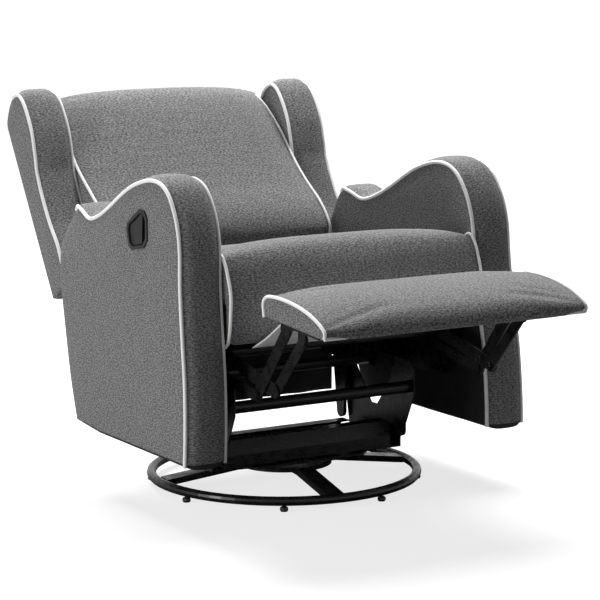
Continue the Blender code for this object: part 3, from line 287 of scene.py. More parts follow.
# %% [markdown]
# ## Piping, linings, steel, plastic and wood
#
# Piping is a cord wrapped in a bias strip, so its cloth has fine diagonal
# threads and gathers slightly along its length. The linings are thin: a pale
# woven one before the seat, and a black bonded dust cloth, whose dots come
# from the rollers that press it. The steel is black powder coat, never quite
# flat; its sharp outer edges are rougher, as rubbed, and painted lighter as a
# painted edge highlight. Plastic has a moulded grain.

# %% White piping
THREADS_ALONG, THREADS_ROUND = 5200.0, 14.0


def piping_cloth(tree):
    run = attribute(tree, "cord", 1)
    twist = run.part(0) * THREADS_ALONG + run.part(1) * 6.2832 * THREADS_ROUND
    threads = (twist.sine() + 1) * 0.5
    gather = run.stretched(240.0, 2.0).speckle(1.0, 2.0)
    soil = run.speckle(30.0, 2.0)
    tone = soil.spread(0.3, 0.8) * 0.5 + gather.spread(0.3, 0.7) * 0.3 + threads * 0.2
    return (tone.tint((0.80, 0.80, 0.79), (0.94, 0.94, 0.935)),
            gather.spread(0.2, 0.8, 0.62, 0.78), threads * 0.00006 + gather * 0.00045)


WHITE_PIPING = finish("white_piping", piping_cloth, Sheen_Weight=0.12, Specular_IOR_Level=0.35)


# %% Linings
def lining(dark, light, dot_height):
    def paint(tree):
        place = object_place(tree)
        threads = place.stretched(900.0, 900.0, 260.0).speckle(1.0, 2.0)
        cloud = place.speckle(22.0, 3.0)
        dot = cells(place, 420.0, 0.15).spread(0.15, 0.45)
        tone = threads.spread(0.25, 0.75) * 0.6 + cloud.spread(0.3, 0.7) * 0.4
        return (tone.tint(dark, light), threads.spread(0.2, 0.8, 0.95, 0.82),
                threads * 0.00012 + dot * dot_height + cloud * 0.0012)
    return paint


PALE_LINING = finish("pale_woven_lining", Specular_IOR_Level=0.2,
                     paint=lining((0.76, 0.76, 0.765), (0.92, 0.92, 0.925), 0.00002))
DUST_CLOTH = finish("black_dust_cloth", Specular_IOR_Level=0.2,
                    paint=lining((0.010, 0.010, 0.011), (0.036, 0.036, 0.038), 0.00012))


# %% Steel, zinc, plastic and wood
def powder_coat(tree):
    place = object_place(tree)
    peel = place.speckle(420.0, 2.0)
    dust = place.speckle(38.0, 4.0, 0.6)
    # Painted highlight: sharp outer edges (pointiness) are painted lighter, standing in for light
    # caught along them; they are also made rougher.
    edge_highlight_and_rub = Signal.make(tree, "ShaderNodeNewGeometry", output=7).spread(0.53, 0.62)
    painted_light = edge_highlight_and_rub * place.stretched(60.0, 60.0, 420.0).speckle(1.0, 3.0).spread(0.45, 0.65)
    tone = dust.spread(0.35, 0.75) * 0.55 + painted_light * 0.45
    return (tone.tint((0.0045, 0.0045, 0.0048), (0.022, 0.022, 0.023)),
            dust.spread(0.3, 0.7, 0.20, 0.36) + painted_light * 0.12, peel * 0.00006 + dust * 0.00008)


def zinc_plate(tree):
    place = object_place(tree)
    spangle, stain = place.speckle(160.0, 3.0), place.speckle(34.0, 3.0)
    tone = spangle.spread(0.3, 0.7) * 0.6 + stain.spread(0.3, 0.7) * 0.4
    return (tone.tint((0.36, 0.36, 0.35), (0.60, 0.60, 0.58)),
            stain.spread(0.3, 0.7, 0.28, 0.46), spangle * 0.00008)


def moulded_plastic(tree):
    place = object_place(tree)
    grain, dust = cells(place, 1500.0), place.speckle(60.0, 3.0)
    return (dust.spread(0.3, 0.8).tint((0.008, 0.008, 0.009), (0.022, 0.022, 0.024)),
            dust.spread(0.3, 0.7, 0.36, 0.52), grain * 0.00006)


def plywood(tree):
    place = object_place(tree)
    ring = place.stretched(4.0, 42.0, 42.0).speckle(1.0, 5.0, 0.65)
    pore = place.stretched(60.0, 900.0, 900.0).speckle(1.0, 2.0)
    tone = ring.spread(0.3, 0.7) * 0.75 + pore.spread(0.3, 0.7) * 0.25
    return (tone.tint((0.30, 0.19, 0.10), (0.58, 0.43, 0.27)),
            pore.spread(0.2, 0.8, 0.62, 0.78), ring * 0.0002 + pore * 0.0001)


STEEL = finish("black_powder_coat", powder_coat, Specular_IOR_Level=0.22)
ZINC = finish("zinc_plate", zinc_plate, Metallic=1.0)
PLASTIC = finish("black_moulded_plastic", moulded_plastic, Specular_IOR_Level=0.35)
WOOD = finish("birch_plywood", plywood, Specular_IOR_Level=0.3)

# %% [markdown]
# ## Dress the CAD parts that stay
#
# Steel plates, tubes and links already have their real shape, so they keep it
# and only get a finish. Steel is the rule, and the exceptions are named.

# %% Finishes for the hard parts
NOT_STEEL = {"swivel_bearing": ZINC, "swivel_bolt": ZINC, "seat_frame": WOOD, "back_frame": WOOD,
             "footrest_board": WOOD}
for name, node in frame["nodes"].items():
    plastic = name.startswith(("floor_glide", "handle_"))
    for place in node.material_slots:
        place.material = PLASTIC if plastic else NOT_STEEL.get(name, STEEL)
print("CAD parts with a finish:", len(frame["nodes"]))

# %% [markdown]
# ## Outlines
#
# Every padded piece of this chair is a side outline carried across its width,
# as an upholsterer cuts two side panels and one long band between them. So a
# few listed points give the outline, a smooth curve runs through them,
# and it is then divided into equal steps, which keeps the faces even.

# %% Curves through a few points
def smooth(points, steps=6):
    """A Catmull-Rom curve through the points, both ends included."""
    curve = []
    last = len(points) - 1
    for index in range(last):
        a, b = points[max(index - 1, 0)], points[index]
        c, d = points[index + 1], points[min(index + 2, last)]
        for step in range(steps):
            t = step / steps
            curve.append(tuple(0.5 * (2 * q + (r - p) * t + (2 * p - 5 * q + 4 * r - s) * t ** 2
                                      + (3 * q - p - 3 * r + s) * t ** 3)
                               for p, q, r, s in zip(a, b, c, d)))
    return curve + [tuple(points[last])]


def even(points, step, closed=False):
    """The same line in equal steps; a closed one doesn't repeat its start."""
    line = [Vector(p) for p in points]
    if closed:
        line.append(line[0])
    reach = [0.0]
    for a, b in zip(line, line[1:]):
        reach.append(reach[-1] + (b - a).length)
    count = max(2, round(reach[-1] / step))
    found = []
    index = 0
    for number in range(count if closed else count + 1):
        target = reach[-1] * number / count
        while index < len(line) - 2 and reach[index + 1] < target:
            index += 1
        span = reach[index + 1] - reach[index] or 1.0
        found.append(tuple(line[index].lerp(line[index + 1], (target - reach[index]) / span)))
    return found


def area(outline):
    return sum(a[0] * b[1] - b[0] * a[1] for a, b in zip(outline, outline[1:] + outline[:1])) / 2


def outward(outline):
    """Unit normals of a closed outline, out of its area."""
    way = 1.0 if area(outline) > 0 else -1.0
    found = []
    for a, b in zip(outline[-1:] + outline[:-1], outline[1:] + outline[:1]):
        length = math.hypot(b[0] - a[0], b[1] - a[1]) or 1.0
        found.append((way * (b[1] - a[1]) / length, -way * (b[0] - a[0]) / length))
    return found


# %% [markdown]
# ## Skins
#
# A skin collects points and faces, and for each corner of a face its place on
# the cloth. Two builders use it. upholstered() makes a firm piece, such as an
# arm: a band with rounded edges and two side panels, which are filled with a
# net of small triangles so that they can swell between their seams. The net
# comes from a Delaunay fill, which keeps its triangles even. cloth_sheet(),
# further down, makes flat pieces from a grid.

# %% A skin of cloth
def face_out(mesh):
    """Turns all faces of a mesh outwards."""
    work = bmesh.new()
    work.from_mesh(mesh)
    bmesh.ops.recalc_face_normals(work, faces=work.faces)
    work.to_mesh(mesh)
    work.free()


def nearest(points):
    """A search tree for the nearest of some points."""
    tree = KDTree(len(points))
    for index, point in enumerate(points):
        tree.insert(point, index)
    tree.balance()
    return tree


class Skin:
    def __init__(self):
        self.points = []
        self.faces = []
        self.cloth = []
        self.finishes = []

    def add(self, point):
        self.points.append(tuple(point))
        return len(self.points) - 1

    def face(self, corners, cloth, finish=0):
        self.faces.append(tuple(corners))
        self.cloth.append(tuple(cloth))
        self.finishes.append(finish)

    def make(self, name, finishes, place):
        mesh = bpy.data.meshes.new(name)
        mesh.from_pydata(self.points, [], self.faces)
        layer = mesh.uv_layers.new(name="cloth")
        for polygon, corners, number in zip(mesh.polygons, self.cloth, self.finishes):
            polygon.material_index = number
            for loop, corner in zip(polygon.loop_indices, corners):
                layer.data[loop].uv = corner
        for material in finishes:
            mesh.materials.append(material)
        face_out(mesh)
        mesh.transform(place)
        mesh.shade_smooth()
        return put(name, mesh)


def band(skin, rings, xs):
    """Quads between rings; xs are the rings' places across the cloth."""
    count = len(rings[0])
    reach = [0.0]
    for index in range(count):
        a = Vector(skin.points[rings[0][index]])
        b = Vector(skin.points[rings[0][(index + 1) % count]])
        reach.append(reach[-1] + (b - a).length)
    for (low, near), (high, far) in zip(zip(rings, xs), zip(rings[1:], xs[1:])):
        for index in range(count):
            follow = (index + 1) % count
            skin.face((low[index], low[follow], high[follow], high[index]),
                      ((near, reach[index]), (near, reach[index + 1]),
                       (far, reach[index + 1]), (far, reach[index])))


def inside(point, outline):
    hit = False
    for a, b in zip(outline, outline[1:] + outline[:1]):
        if (a[1] > point[1]) != (b[1] > point[1]):
            if point[0] < a[0] + (b[0] - a[0]) * (point[1] - a[1]) / (b[1] - a[1]):
                hit = not hit
    return hit


NET_CELL, NET_ROW = 0.011, 0.87


def panel(skin, ring, flat, x_at, lined_below=None, hole=None):
    """Fills a ring with a net of triangles. flat gives the ring's (y, z)."""
    border = nearest([(y, z, 0.0) for y, z in flat])
    points = [Vector(p) for p in flat]
    count = len(points)
    edges = [(i, (i + 1) % count) for i in range(count)]
    if hole:
        edges += [(count + i, count + (i + 1) % len(hole)) for i in range(len(hole))]
        points += [Vector(p) for p in hole]
    fixed = len(points)
    ys, zs = [p[0] for p in flat], [p[1] for p in flat]
    for row in range(int((max(zs) - min(zs)) / (NET_CELL * NET_ROW)) + 1):
        z = min(zs) + (row + 0.5) * NET_CELL * NET_ROW
        y = min(ys) + (0.5 * NET_CELL if row % 2 else 0.0)
        while y < max(ys):
            free = inside((y, z), flat) and border.find((y, z, 0.0))[2] > 0.55 * NET_CELL
            if free and hole:
                free = (not inside((y, z), hole)
                        and min(math.dist((y, z), p) for p in hole) > 0.4 * NET_CELL)
            if free:
                points.append(Vector((y, z)))
            y += NET_CELL
    corners, _, triangles, origins, _, _ = geometry.delaunay_2d_cdt(points, edges, [], 1, 1e-7)
    numbers, rim = [], {}
    for (y, z), origin in zip(corners, origins):
        first = origin[0] if origin else fixed
        if first < count:
            numbers.append(ring[first])
        else:
            numbers.append(skin.add((x_at(y, z, border.find((y, z, 0.0))[2]), y, z)))
        rim.update({known - count: numbers[-1] for known in origin if count <= known < fixed})
    for triangle in triangles:
        middle = sum((corners[i] for i in triangle), Vector((0.0, 0.0))) / 3
        if not (hole and inside(middle, hole)):
            lined = bool(lined_below) and middle.y < lined_below
            skin.face([numbers[i] for i in triangle], [tuple(corners[i]) for i in triangle],
                      int(lined))
    return [rim[index] for index in range(len(hole))] if hole else None


# %% Firm upholstered pieces
OUTLINE_STEP, EDGE_ROLL, POCKET_DEPTH = 0.007, 0.006, 0.024
ARC = [math.radians(turn) for turn in (0, 30, 60, 90)]
STATIONS = ([(0, EDGE_ROLL * (1 - math.cos(t)), EDGE_ROLL * (1 - math.sin(t))) for t in ARC]
            + [(share / 12, 0.0, -(1 - (share / 6 - 1) ** 4)) for share in range(1, 12)]
            + [(1, -EDGE_ROLL * (1 - math.cos(t)), EDGE_ROLL * (1 - math.sin(t)))
               for t in reversed(ARC)])


def upholstered(name, outline, sides, crown, puff, place, finishes, lined=None, hole=None):
    """Two side panels and a band. Each side's x and the crown are given at (y, z)."""
    outline = even(outline, OUTLINE_STEP, closed=True)
    normals = outward(outline)
    skin = Skin()
    rings, xs = [], []
    for share, shift, inset in STATIONS:
        ring = []
        for (y, z), normal in zip(outline, normals):
            low, high = sides[0](y, z), sides[1](y, z)
            soft = 0.0
            if inset < 0:
                bumpy = noise.noise(Vector((share * 3.0, y * 14.0, z * 14.0)))
                soft = -inset * crown(y, z) + 0.0006 * bumpy
            if share in (0, 1):
                x = (low if share == 0 else high) + shift
            else:
                x = low + EDGE_ROLL + (high - low - 2 * EDGE_ROLL) * share
            reach = max(0.0, inset) - soft
            ring.append(skin.add((x, y - normal[0] * reach, z - normal[1] * reach)))
        rings.append(ring)
        xs.append(skin.points[ring[0]][0])
    band(skin, rings, xs)
    if lined:
        sole = min(z for y, z in outline) + 2 * EDGE_ROLL
        skin.finishes = [int(skin.points[corners[0]][2] < sole) for corners in skin.faces]

    for ring, face, way, amount in ((rings[0], sides[0], -1.0, puff[0]),
                                    (rings[-1], sides[1], 1.0, puff[1])):
        near = hole[1] if hole and way == hole[0] else None

        def x_at(y, z, gap):
            rise = 1 - math.exp(-gap / 0.030)
            wave = noise.noise(Vector((y * 9.0, z * 9.0, 3.0))) * 0.35
            away = 1.0
            if near:
                clear = min(math.dist((y, z), p) for p in near) - 0.008
                away = 1 - math.exp(-max(0.0, clear) / 0.03)
            return face(y, z) + way * amount * (rise * (1 + wave)) * away

        rim = panel(skin, ring, [skin.points[number][1:] for number in ring], x_at,
                    lined[1] if lined and way == lined[0] else None, near)
        if rim:
            mouth = [skin.points[number] for number in rim]
            deep = [skin.add((x - way * POCKET_DEPTH, y, z)) for x, y, z in mouth]
            band(skin, [rim, deep], [0.0, POCKET_DEPTH])
            skin.face(deep, [point[1:] for point in mouth])
    made = skin.make(name, finishes, place)
    print("%s: %d faces" % (name, len(made.data.polygons)))
    return made


# %% [markdown]
# ## Piping and stitches with Geometry Nodes
#
# Piping repeats one small section along a seam, which is what Geometry Nodes
# are for: the seam is a bare line of points, the tree makes a curve of it,
# divides it evenly, and carries a round section along it. The tree also writes
# down how far along and around the cord each point is, for its finish.

# %% Trees and their ends
SOCKET_KINDS = {float: "NodeSocketFloat", int: "NodeSocketInt"}


def new_tree(name, **sizes):
    """A tree with named inputs, and a signal for its geometry, each size and its finish."""
    tree = bpy.data.node_groups.new(name, "GeometryNodeTree")
    tree.interface.new_socket("Geometry", in_out="INPUT", socket_type="NodeSocketGeometry")
    for label, value in sizes.items():
        kind = SOCKET_KINDS[type(value)]
        tree.interface.new_socket(label, in_out="INPUT", socket_type=kind).default_value = value
    tree.interface.new_socket("Finish", in_out="INPUT", socket_type="NodeSocketMaterial")
    tree.interface.new_socket("Geometry", in_out="OUTPUT", socket_type="NodeSocketGeometry")
    given = tree.nodes.new("NodeGroupInput")
    return [Signal(tree, given.outputs[label]) for label in ("Geometry", *sizes, "Finish")]


def hand_out(geometry, finish):
    """The end of a tree: real geometry in its finish."""
    tree = geometry.tree
    real = Signal.make(tree, "GeometryNodeRealizeInstances", None, {"Geometry": geometry})
    result = Signal.make(tree, "GeometryNodeSetMaterial", None,
                         {"Geometry": real, "Material": finish})
    Signal.feed(tree, tree.nodes.new("NodeGroupOutput").inputs[0], result)
    return tree


def divided(lines, step):
    """Curves from bare lines, in equal steps."""
    curve = Signal.make(lines.tree, "GeometryNodeMeshToCurve", None, {"Mesh": lines})
    return Signal.make(lines.tree, "GeometryNodeResampleCurve", {"mode": "LENGTH"},
                       {"Curve": curve, "Length": step})


def captured(curve, name, value):
    """The curve with a value kept at its points, and that kept value."""
    node = curve.tree.nodes.new("GeometryNodeCaptureAttribute")
    node.capture_items.new("FLOAT", name)
    Signal.feed(curve.tree, node.inputs["Geometry"], curve)
    Signal.feed(curve.tree, node.inputs[name], value)
    return [Signal(curve.tree, node.outputs[label]) for label in ("Geometry", name)]


# %% The piping's tree
def cord_tree():
    seams, radius, step, gather, sides, finish = new_tree("cord_along_seam", Radius=0.0036,
                                                          Step=0.003, Gather=0.10, Sides=12)
    tree = seams.tree
    along = Signal.make(tree, "GeometryNodeSplineParameter", output="Length")
    kept, kept_along = captured(divided(seams, step), "Along", along)
    ripple = Signal.make(tree, "ShaderNodeTexNoise", {"noise_dimensions": "1D"},
                         {"W": along, "Scale": 260.0, "Detail": 1.0})
    lifted = ripple.maths("MULTIPLY_ADD", ripple, gather, 1.0)
    sized = Signal.make(tree, "GeometryNodeSetCurveRadius", None, {"Curve": kept, "Radius": lifted})
    circle = Signal.make(tree, "GeometryNodeCurvePrimitiveCircle", {"mode": "RADIUS"},
                         {"Resolution": sides, "Radius": radius})
    around = Signal.make(tree, "GeometryNodeSplineParameter", output="Factor")
    rim, kept_around = captured(circle, "Around", around)
    tube = Signal.make(tree, "GeometryNodeCurveToMesh", None,
                       {"Curve": sized, "Profile Curve": rim, "Scale": lifted, "Fill Caps": True})
    pair = Signal.make(tree, "ShaderNodeCombineXYZ", None, {"X": kept_along, "Y": kept_around})
    noted = Signal.make(tree, "GeometryNodeStoreNamedAttribute",
                        {"data_type": "FLOAT_VECTOR", "domain": "POINT"},
                        {"Geometry": tube, "Name": "cord", "Value": pair})
    return hand_out(noted, finish)


def plain_mesh(made):
    """Turns what the modifiers show into the object's own mesh."""
    bpy.context.view_layer.update()
    shown = made.evaluated_get(bpy.context.evaluated_depsgraph_get())
    mesh = bpy.data.meshes.new_from_object(shown)
    made.modifiers.clear()
    made.data = mesh


def run_tree(name, tree, lines, values, arrows=(), rounded=True):
    """A tree on one mesh of loose lines; the result is a plain mesh."""
    mesh = bpy.data.meshes.new(name)
    points, edges = [], []
    for line in lines:
        start = len(points)
        points += [tuple(p) for p in line]
        edges += [(start + i, start + i + 1) for i in range(len(line) - 1)]
    mesh.from_pydata(points, edges, [])
    if arrows:
        layer = mesh.attributes.new("facing", "FLOAT_VECTOR", "POINT")
        for item, arrow in zip(layer.data, arrows):
            item.vector = arrow
    made = put(name, mesh)
    modifier = made.modifiers.new("tree", "NODES")
    modifier.node_group = tree
    for item in tree.interface.items_tree:
        if item.item_type == "SOCKET" and item.in_out == "INPUT" and item.name in values:
            modifier[item.identifier] = values[item.name]
    plain_mesh(made)
    if rounded:
        made.data.shade_smooth()
    else:
        made.data.shade_flat()
    face_out(made.data)
    return made


# %% Piping, seams and padded pieces
CORD = cord_tree()
SEAM_STEP = 0.004
CORD_INSET, CORD_SINK = 0.0032, 0.0006


def piping(name, body, lines, radius=0.0036):
    made = run_tree(name, CORD, [even(line, SEAM_STEP) for line in lines],
                    {"Radius": radius, "Step": 0.003, "Gather": 0.10, "Sides": 12,
                     "Finish": WHITE_PIPING})
    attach(made, body)
    print("%s: %d seams, %d faces" % (name, len(lines), len(made.data.polygons)))


def padding(made, seams, body, fill, *nodes):
    tree = nearest([p for line in seams for p in even(line, SEAM_STEP)])
    layer = made.data.attributes.new("seam", "FLOAT", "POINT")
    for item, vertex in zip(layer.data, made.data.vertices):
        item.value = tree.find(vertex.co)[2]
    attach(made, body)
    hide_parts(*nodes)


def placed(matrix, points):
    return [tuple(matrix @ Vector(p)) for p in points]


# %% [markdown]
# ## Arms
#
# Each arm is two side panels with a band between them, over a firm frame. The
# outline rises from the front post to a full round top and falls in a hollow
# to a small rear tip. Piping runs along both edges of the band from the floor
# end of the post to that tip, and turns under there. The rear edge has none.
# Inside, below the seat, the real arm is covered with dust cloth only.

# %% Arm panels and bands
ARM_FRONT_Y, ARM_DEPTH = -0.363, 0.571
ARM_LOW_Z, ARM_HEIGHT = 0.128, 0.526
ARM_REAR = ((0.640, 0.000), (0.822, 0.016), (0.884, 0.186), (0.962, 0.485), (1.000, 0.660),
            (0.979, 0.717), (0.935, 0.785), (0.883, 0.843))
ARM_TOP = ((0.883, 0.843), (0.835, 0.829), (0.766, 0.808), (0.687, 0.828), (0.596, 0.871),
           (0.500, 0.925), (0.416, 0.966), (0.329, 0.992), (0.262, 1.000), (0.206, 0.992),
           (0.159, 0.966), (0.119, 0.920), (0.084, 0.852), (0.063, 0.764), (0.054, 0.620),
           (0.031, 0.441), (0.010, 0.290), (0.000, 0.118), (0.000, 0.000))
HANDLE_AT = (ARM_FRONT_Y + 0.3678 * ARM_DEPTH, ARM_LOW_Z + 0.8061 * ARM_HEIGHT)
HANDLE_SHAPE = ((-0.30, 0.62), (0.28, 1.00), (0.66, 0.96), (0.92, 0.62), (0.96, -0.42),
                (0.66, -0.78), (-0.40, -1.00), (-0.70, -0.84), (-0.92, -0.10), (-0.84, 0.24))
HANDLE_HALF = (0.043, 0.038)
LINING_TOP_Z = 0.338
ARM_OUTER_X, ARM_INNER_X = (0.3875, 0.369), (0.3010, 0.2845)
ARM_SWELL = {"outer": 0.0030, "inner": 0.0012}


def drawn_in(y, z):
    """How far an arm bends inwards, near the top of its rear end."""
    return 0.019 * within((y + 0.10) / 0.31) ** 1.4 * within((z - 0.42) / 0.14)


def leaning(bottom, top):
    """A side's x, which leans from the bottom of the arm to its top."""
    inwards = -1.0 if bottom > 0 else 1.0
    return lambda y, z: (bottom + (top - bottom) * (z - ARM_LOW_Z) / ARM_HEIGHT
                         + inwards * drawn_in(y, z))


def arm_crown(y, z):
    """How full the band is: less at the rear edge, beside the back's wings."""
    return 0.0075 - 0.0060 * within((y - 0.10) / 0.05)


def set_in(line, amount):
    """The same open line, moved to its right by an amount."""
    moved = []
    for (y, z), a, b in zip(line, line[:1] + line[:-1], line[1:] + line[-1:]):
        length = math.hypot(b[0] - a[0], b[1] - a[1]) or 1.0
        moved.append((y + amount * (b[1] - a[1]) / length, z - amount * (b[0] - a[0]) / length))
    return moved


def on_arm(shares):
    return [(ARM_FRONT_Y + a * ARM_DEPTH, ARM_LOW_Z + b * ARM_HEIGHT) for a, b in shares]


arm_outline = on_arm(ARM_REAR)[:2] + smooth(on_arm(ARM_REAR)[1:])[1:-1] + smooth(on_arm(ARM_TOP))
handle_hole = [(HANDLE_AT[0] - HANDLE_HALF[0] * a, HANDLE_AT[1] + HANDLE_HALF[1] * b)
               for a, b in HANDLE_SHAPE]
seam_run = smooth(on_arm(reversed(ARM_TOP))) + on_arm([(0.893, 0.832), (0.899, 0.824)])
for side, way in SIDES:
    outer, inner = (leaning(*(way * x for x in xs)) for xs in (ARM_OUTER_X, ARM_INNER_X))
    faces, swell = (outer, inner), (ARM_SWELL["outer"], ARM_SWELL["inner"])
    if way > 0:
        faces, swell = faces[::-1], swell[::-1]
    arm = upholstered("arm_%s_cover" % side, arm_outline, faces, arm_crown, swell, CHAIR,
                      (GREY_COVER, DUST_CLOTH), lined=(-way, LINING_TOP_Z),
                      hole=(-1.0, handle_hole) if way < 0 else None)
    edges = [placed(CHAIR, [(face(y, z) - turn * way * CORD_SINK, y, z)
                            for y, z in set_in(seam_run, CORD_INSET)])
             for face, turn in ((outer, 1), (inner, -1))]
    padding(arm, edges, "carriage", 0.9, "arm_%s" % side)
    piping("arm_%s_piping" % side, "carriage", edges)

# %% [markdown]
# ## Wings
#
# The wings are made the same way, in the back's own frame. The rear edge is
# straight, the top rises forwards, and the front edge draws in to a waist
# above the arms. The inner seam starts behind the cushion's top corner, and
# the outer one at the highest point.

# %% Wing panels and bands
BACK_REAR, BACK_LOW, BACK_HEIGHT, WING_DEPTH = 0.098, -0.011, 0.444, 0.114
WING = ((0.000, 0.000), (0.000, 0.905), (0.060, 0.938), (0.280, 0.978), (0.480, 0.998),
        (0.660, 0.999), (0.820, 0.982), (0.935, 0.937), (0.992, 0.860), (0.980, 0.750),
        (0.860, 0.640), (0.755, 0.560), (0.710, 0.430), (0.730, 0.300), (0.800, 0.190),
        (0.770, 0.080), (0.690, 0.012))
WING_INNER_X, WING_OUTER_X = 0.2688, 0.354
WING_SWELL = {"outer": 0.0028, "inner": 0.0002}


def on_back(shares):
    return [(BACK_REAR - a * WING_DEPTH, BACK_LOW + b * BACK_HEIGHT) for a, b in shares]


def level(x):
    return lambda y, z: x


def wing_crown(y, z):
    """Less full low down, where the wing passes the arm as the back comes up."""
    return 0.0020 + 0.0065 * within((z - 0.13) / 0.09)


wing_outline = on_back(WING[:1]) + smooth(on_back(WING[1:]))
wing_front = smooth(on_back(WING[2:]))
high_point = max(range(len(wing_front)), key=lambda index: wing_front[index][1])
for side, way in SIDES:
    faces = (level(way * WING_OUTER_X), level(way * WING_INNER_X))
    swell = (WING_SWELL["outer"], WING_SWELL["inner"])
    if way > 0:
        faces, swell = faces[::-1], swell[::-1]
    wing = upholstered("wing_%s_cover" % side, wing_outline, faces, wing_crown, swell, BACK,
                       (GREY_COVER,))
    edges = [placed(BACK, [(way * (x - turn * CORD_SINK), y, z)
                           for y, z in set_in(line, -CORD_INSET)])
             for x, turn, line in ((WING_INNER_X, -1, wing_front),
                                   (WING_OUTER_X, 1, wing_front[high_point:]))]
    padding(wing, edges, "back", 0.9, "wing_%s" % side)
    piping("wing_%s_piping" % side, "back", edges)

# %% [markdown]
# ## Cushions with a cloth simulation
#
# A cushion is a bag under pressure: the filling pushes the cover out until the
# seams hold it. Blender's Cloth can do just that. The shape starts a little
# too thin, a voxel remesh gives it even faces, the points at the seams and on
# the frame are pinned, and a pressure of 4 without gravity fills it for 20
# frames. How far a point may move is limited, so that the cushion keeps the
# size that the frame gives it. A subdivision then rounds the result.

# %% Blow up a cushion
SLICES, FILL_FRAMES, FILL_PRESSURE, SETTLE_PASSES = 26, 20, 4.0, 3


def swept(name, outline, half_at, crown, roll, fullness=4):
    """A closed, still slack cushion: the outline carried across its width."""
    outline = even(outline, 0.009, closed=True)
    normals = outward(outline)
    count = len(outline)
    points, faces = [], []
    for step in range(SLICES + 1):
        share = -1 + 2 * step / SLICES
        reach = crown * (1 - share ** fullness) - (roll if abs(share) == 1 else 0.0)
        points += [(share * half_at(y, z), y + normal[0] * reach, z + normal[1] * reach)
                   for (y, z), normal in zip(outline, normals)]
    for near in range(0, SLICES * count, count):
        for index in range(count):
            follow, far = (index + 1) % count, near + count
            faces.append((near + index, near + follow, far + follow, far + index))
    faces += [tuple(range(count)), tuple(range(SLICES * count, len(points)))]
    mesh = bpy.data.meshes.new(name)
    mesh.from_pydata(points, [], faces)
    face_out(mesh)
    return put(name, mesh)


def near_edge(point, run, half, inset, reach):
    """Whether a point lies by a piped edge: close to the side and close to the run."""
    return (abs(point.x) > half - inset
            and min(abs(point.z - z) + abs(point.y - y) for y, z in run[::3]) < reach)


def blow_up(made, held, most, widest, voxel=0.0062):
    """Remesh, fill under pressure with held(point) pinned, and limit the move."""
    remesh = made.modifiers.new("even", "REMESH")
    remesh.mode = "VOXEL"
    remesh.voxel_size = voxel
    plain_mesh(made)
    pinned = made.vertex_groups.new(name="held")
    pinned.add([v.index for v in made.data.vertices if held(v.co)], 1.0, "REPLACE")
    start = [v.co.copy() for v in made.data.vertices]
    cloth = made.modifiers.new("fill", "CLOTH")
    cloth.settings.quality = 4
    cloth.settings.vertex_group_mass = "held"
    cloth.settings.use_pressure = True
    cloth.settings.uniform_pressure_force = FILL_PRESSURE
    cloth.settings.effector_weights.gravity = 0.0
    cloth.collision_settings.use_collision = False
    cloth.point_cache.frame_start = 1
    cloth.point_cache.frame_end = FILL_FRAMES
    for number in range(1, FILL_FRAMES + 1):
        scene.frame_set(number)
    plain_mesh(made)
    scene.frame_set(1)
    moved = 0.0
    for vertex, old in zip(made.data.vertices, start):
        step = vertex.co - old
        far = step.length
        if far > 1e-7:
            step *= most * math.tanh(far / most) / far
        vertex.co = old + step
        vertex.co.x = max(-widest, min(widest, vertex.co.x))
        moved = max(moved, step.length)
    work = bmesh.new()
    work.from_mesh(made.data)
    loose = [v for v in work.verts if not held(v.co)]
    for _ in range(SETTLE_PASSES):
        bmesh.ops.smooth_vert(work, verts=loose, factor=0.5,
                              use_axis_x=True, use_axis_y=True, use_axis_z=True)
    work.to_mesh(made.data)
    work.free()
    made.vertex_groups.clear()
    finer = made.modifiers.new("finer", "SUBSURF")
    finer.levels = finer.render_levels = 1
    plain_mesh(made)
    faces = len(made.data.polygons)
    print("%s: %d faces, filled out by %.1f mm" % (made.name, faces, 1000 * moved))


# %% Lay the cloth on a cushion
CLOTH_STEP = 0.0005
SIDE_FROM, LEVEL_FROM = 0.72, 0.62


def lay_cloth(made, outline):
    """A cloth map: sides as (y, z), tops as (x, y), the rest by their way round."""
    line = even(outline, CLOTH_STEP, closed=True)
    tree = nearest([(0.0, y, z) for y, z in line])
    total = CLOTH_STEP * len(line)
    mesh = made.data
    reach = [tree.find((0.0, v.co.y, v.co.z))[1] * CLOTH_STEP for v in mesh.vertices]
    layer = mesh.uv_layers.new(name="cloth")
    for polygon in mesh.polygons:
        side, level_face = abs(polygon.normal.x) > SIDE_FROM, abs(polygon.normal.z) > LEVEL_FROM
        first = reach[polygon.vertices[0]]
        for loop, number in zip(polygon.loop_indices, polygon.vertices):
            point, run = mesh.vertices[number].co, reach[number]
            if first - run > total / 2:
                run += total
            elif run - first > total / 2:
                run -= total
            across, down = (point.y, point.z) if side else (point.x, point.y if level_face else run)
            layer.data[loop].uv = (across, down)


def dressed(made, place):
    """A cushion in its cover, at its place on the chair."""
    made.data.materials.append(GREY_COVER)
    made.data.transform(place)
    made.data.shade_smooth()


# %% [markdown]
# ## Back cushion
#
# It bulges most low down, where the small of the back rests, and thins to the
# top, where it rolls over the frame. It is narrower at the top and beside the
# steel brackets. A piped seam joins its face to each side.

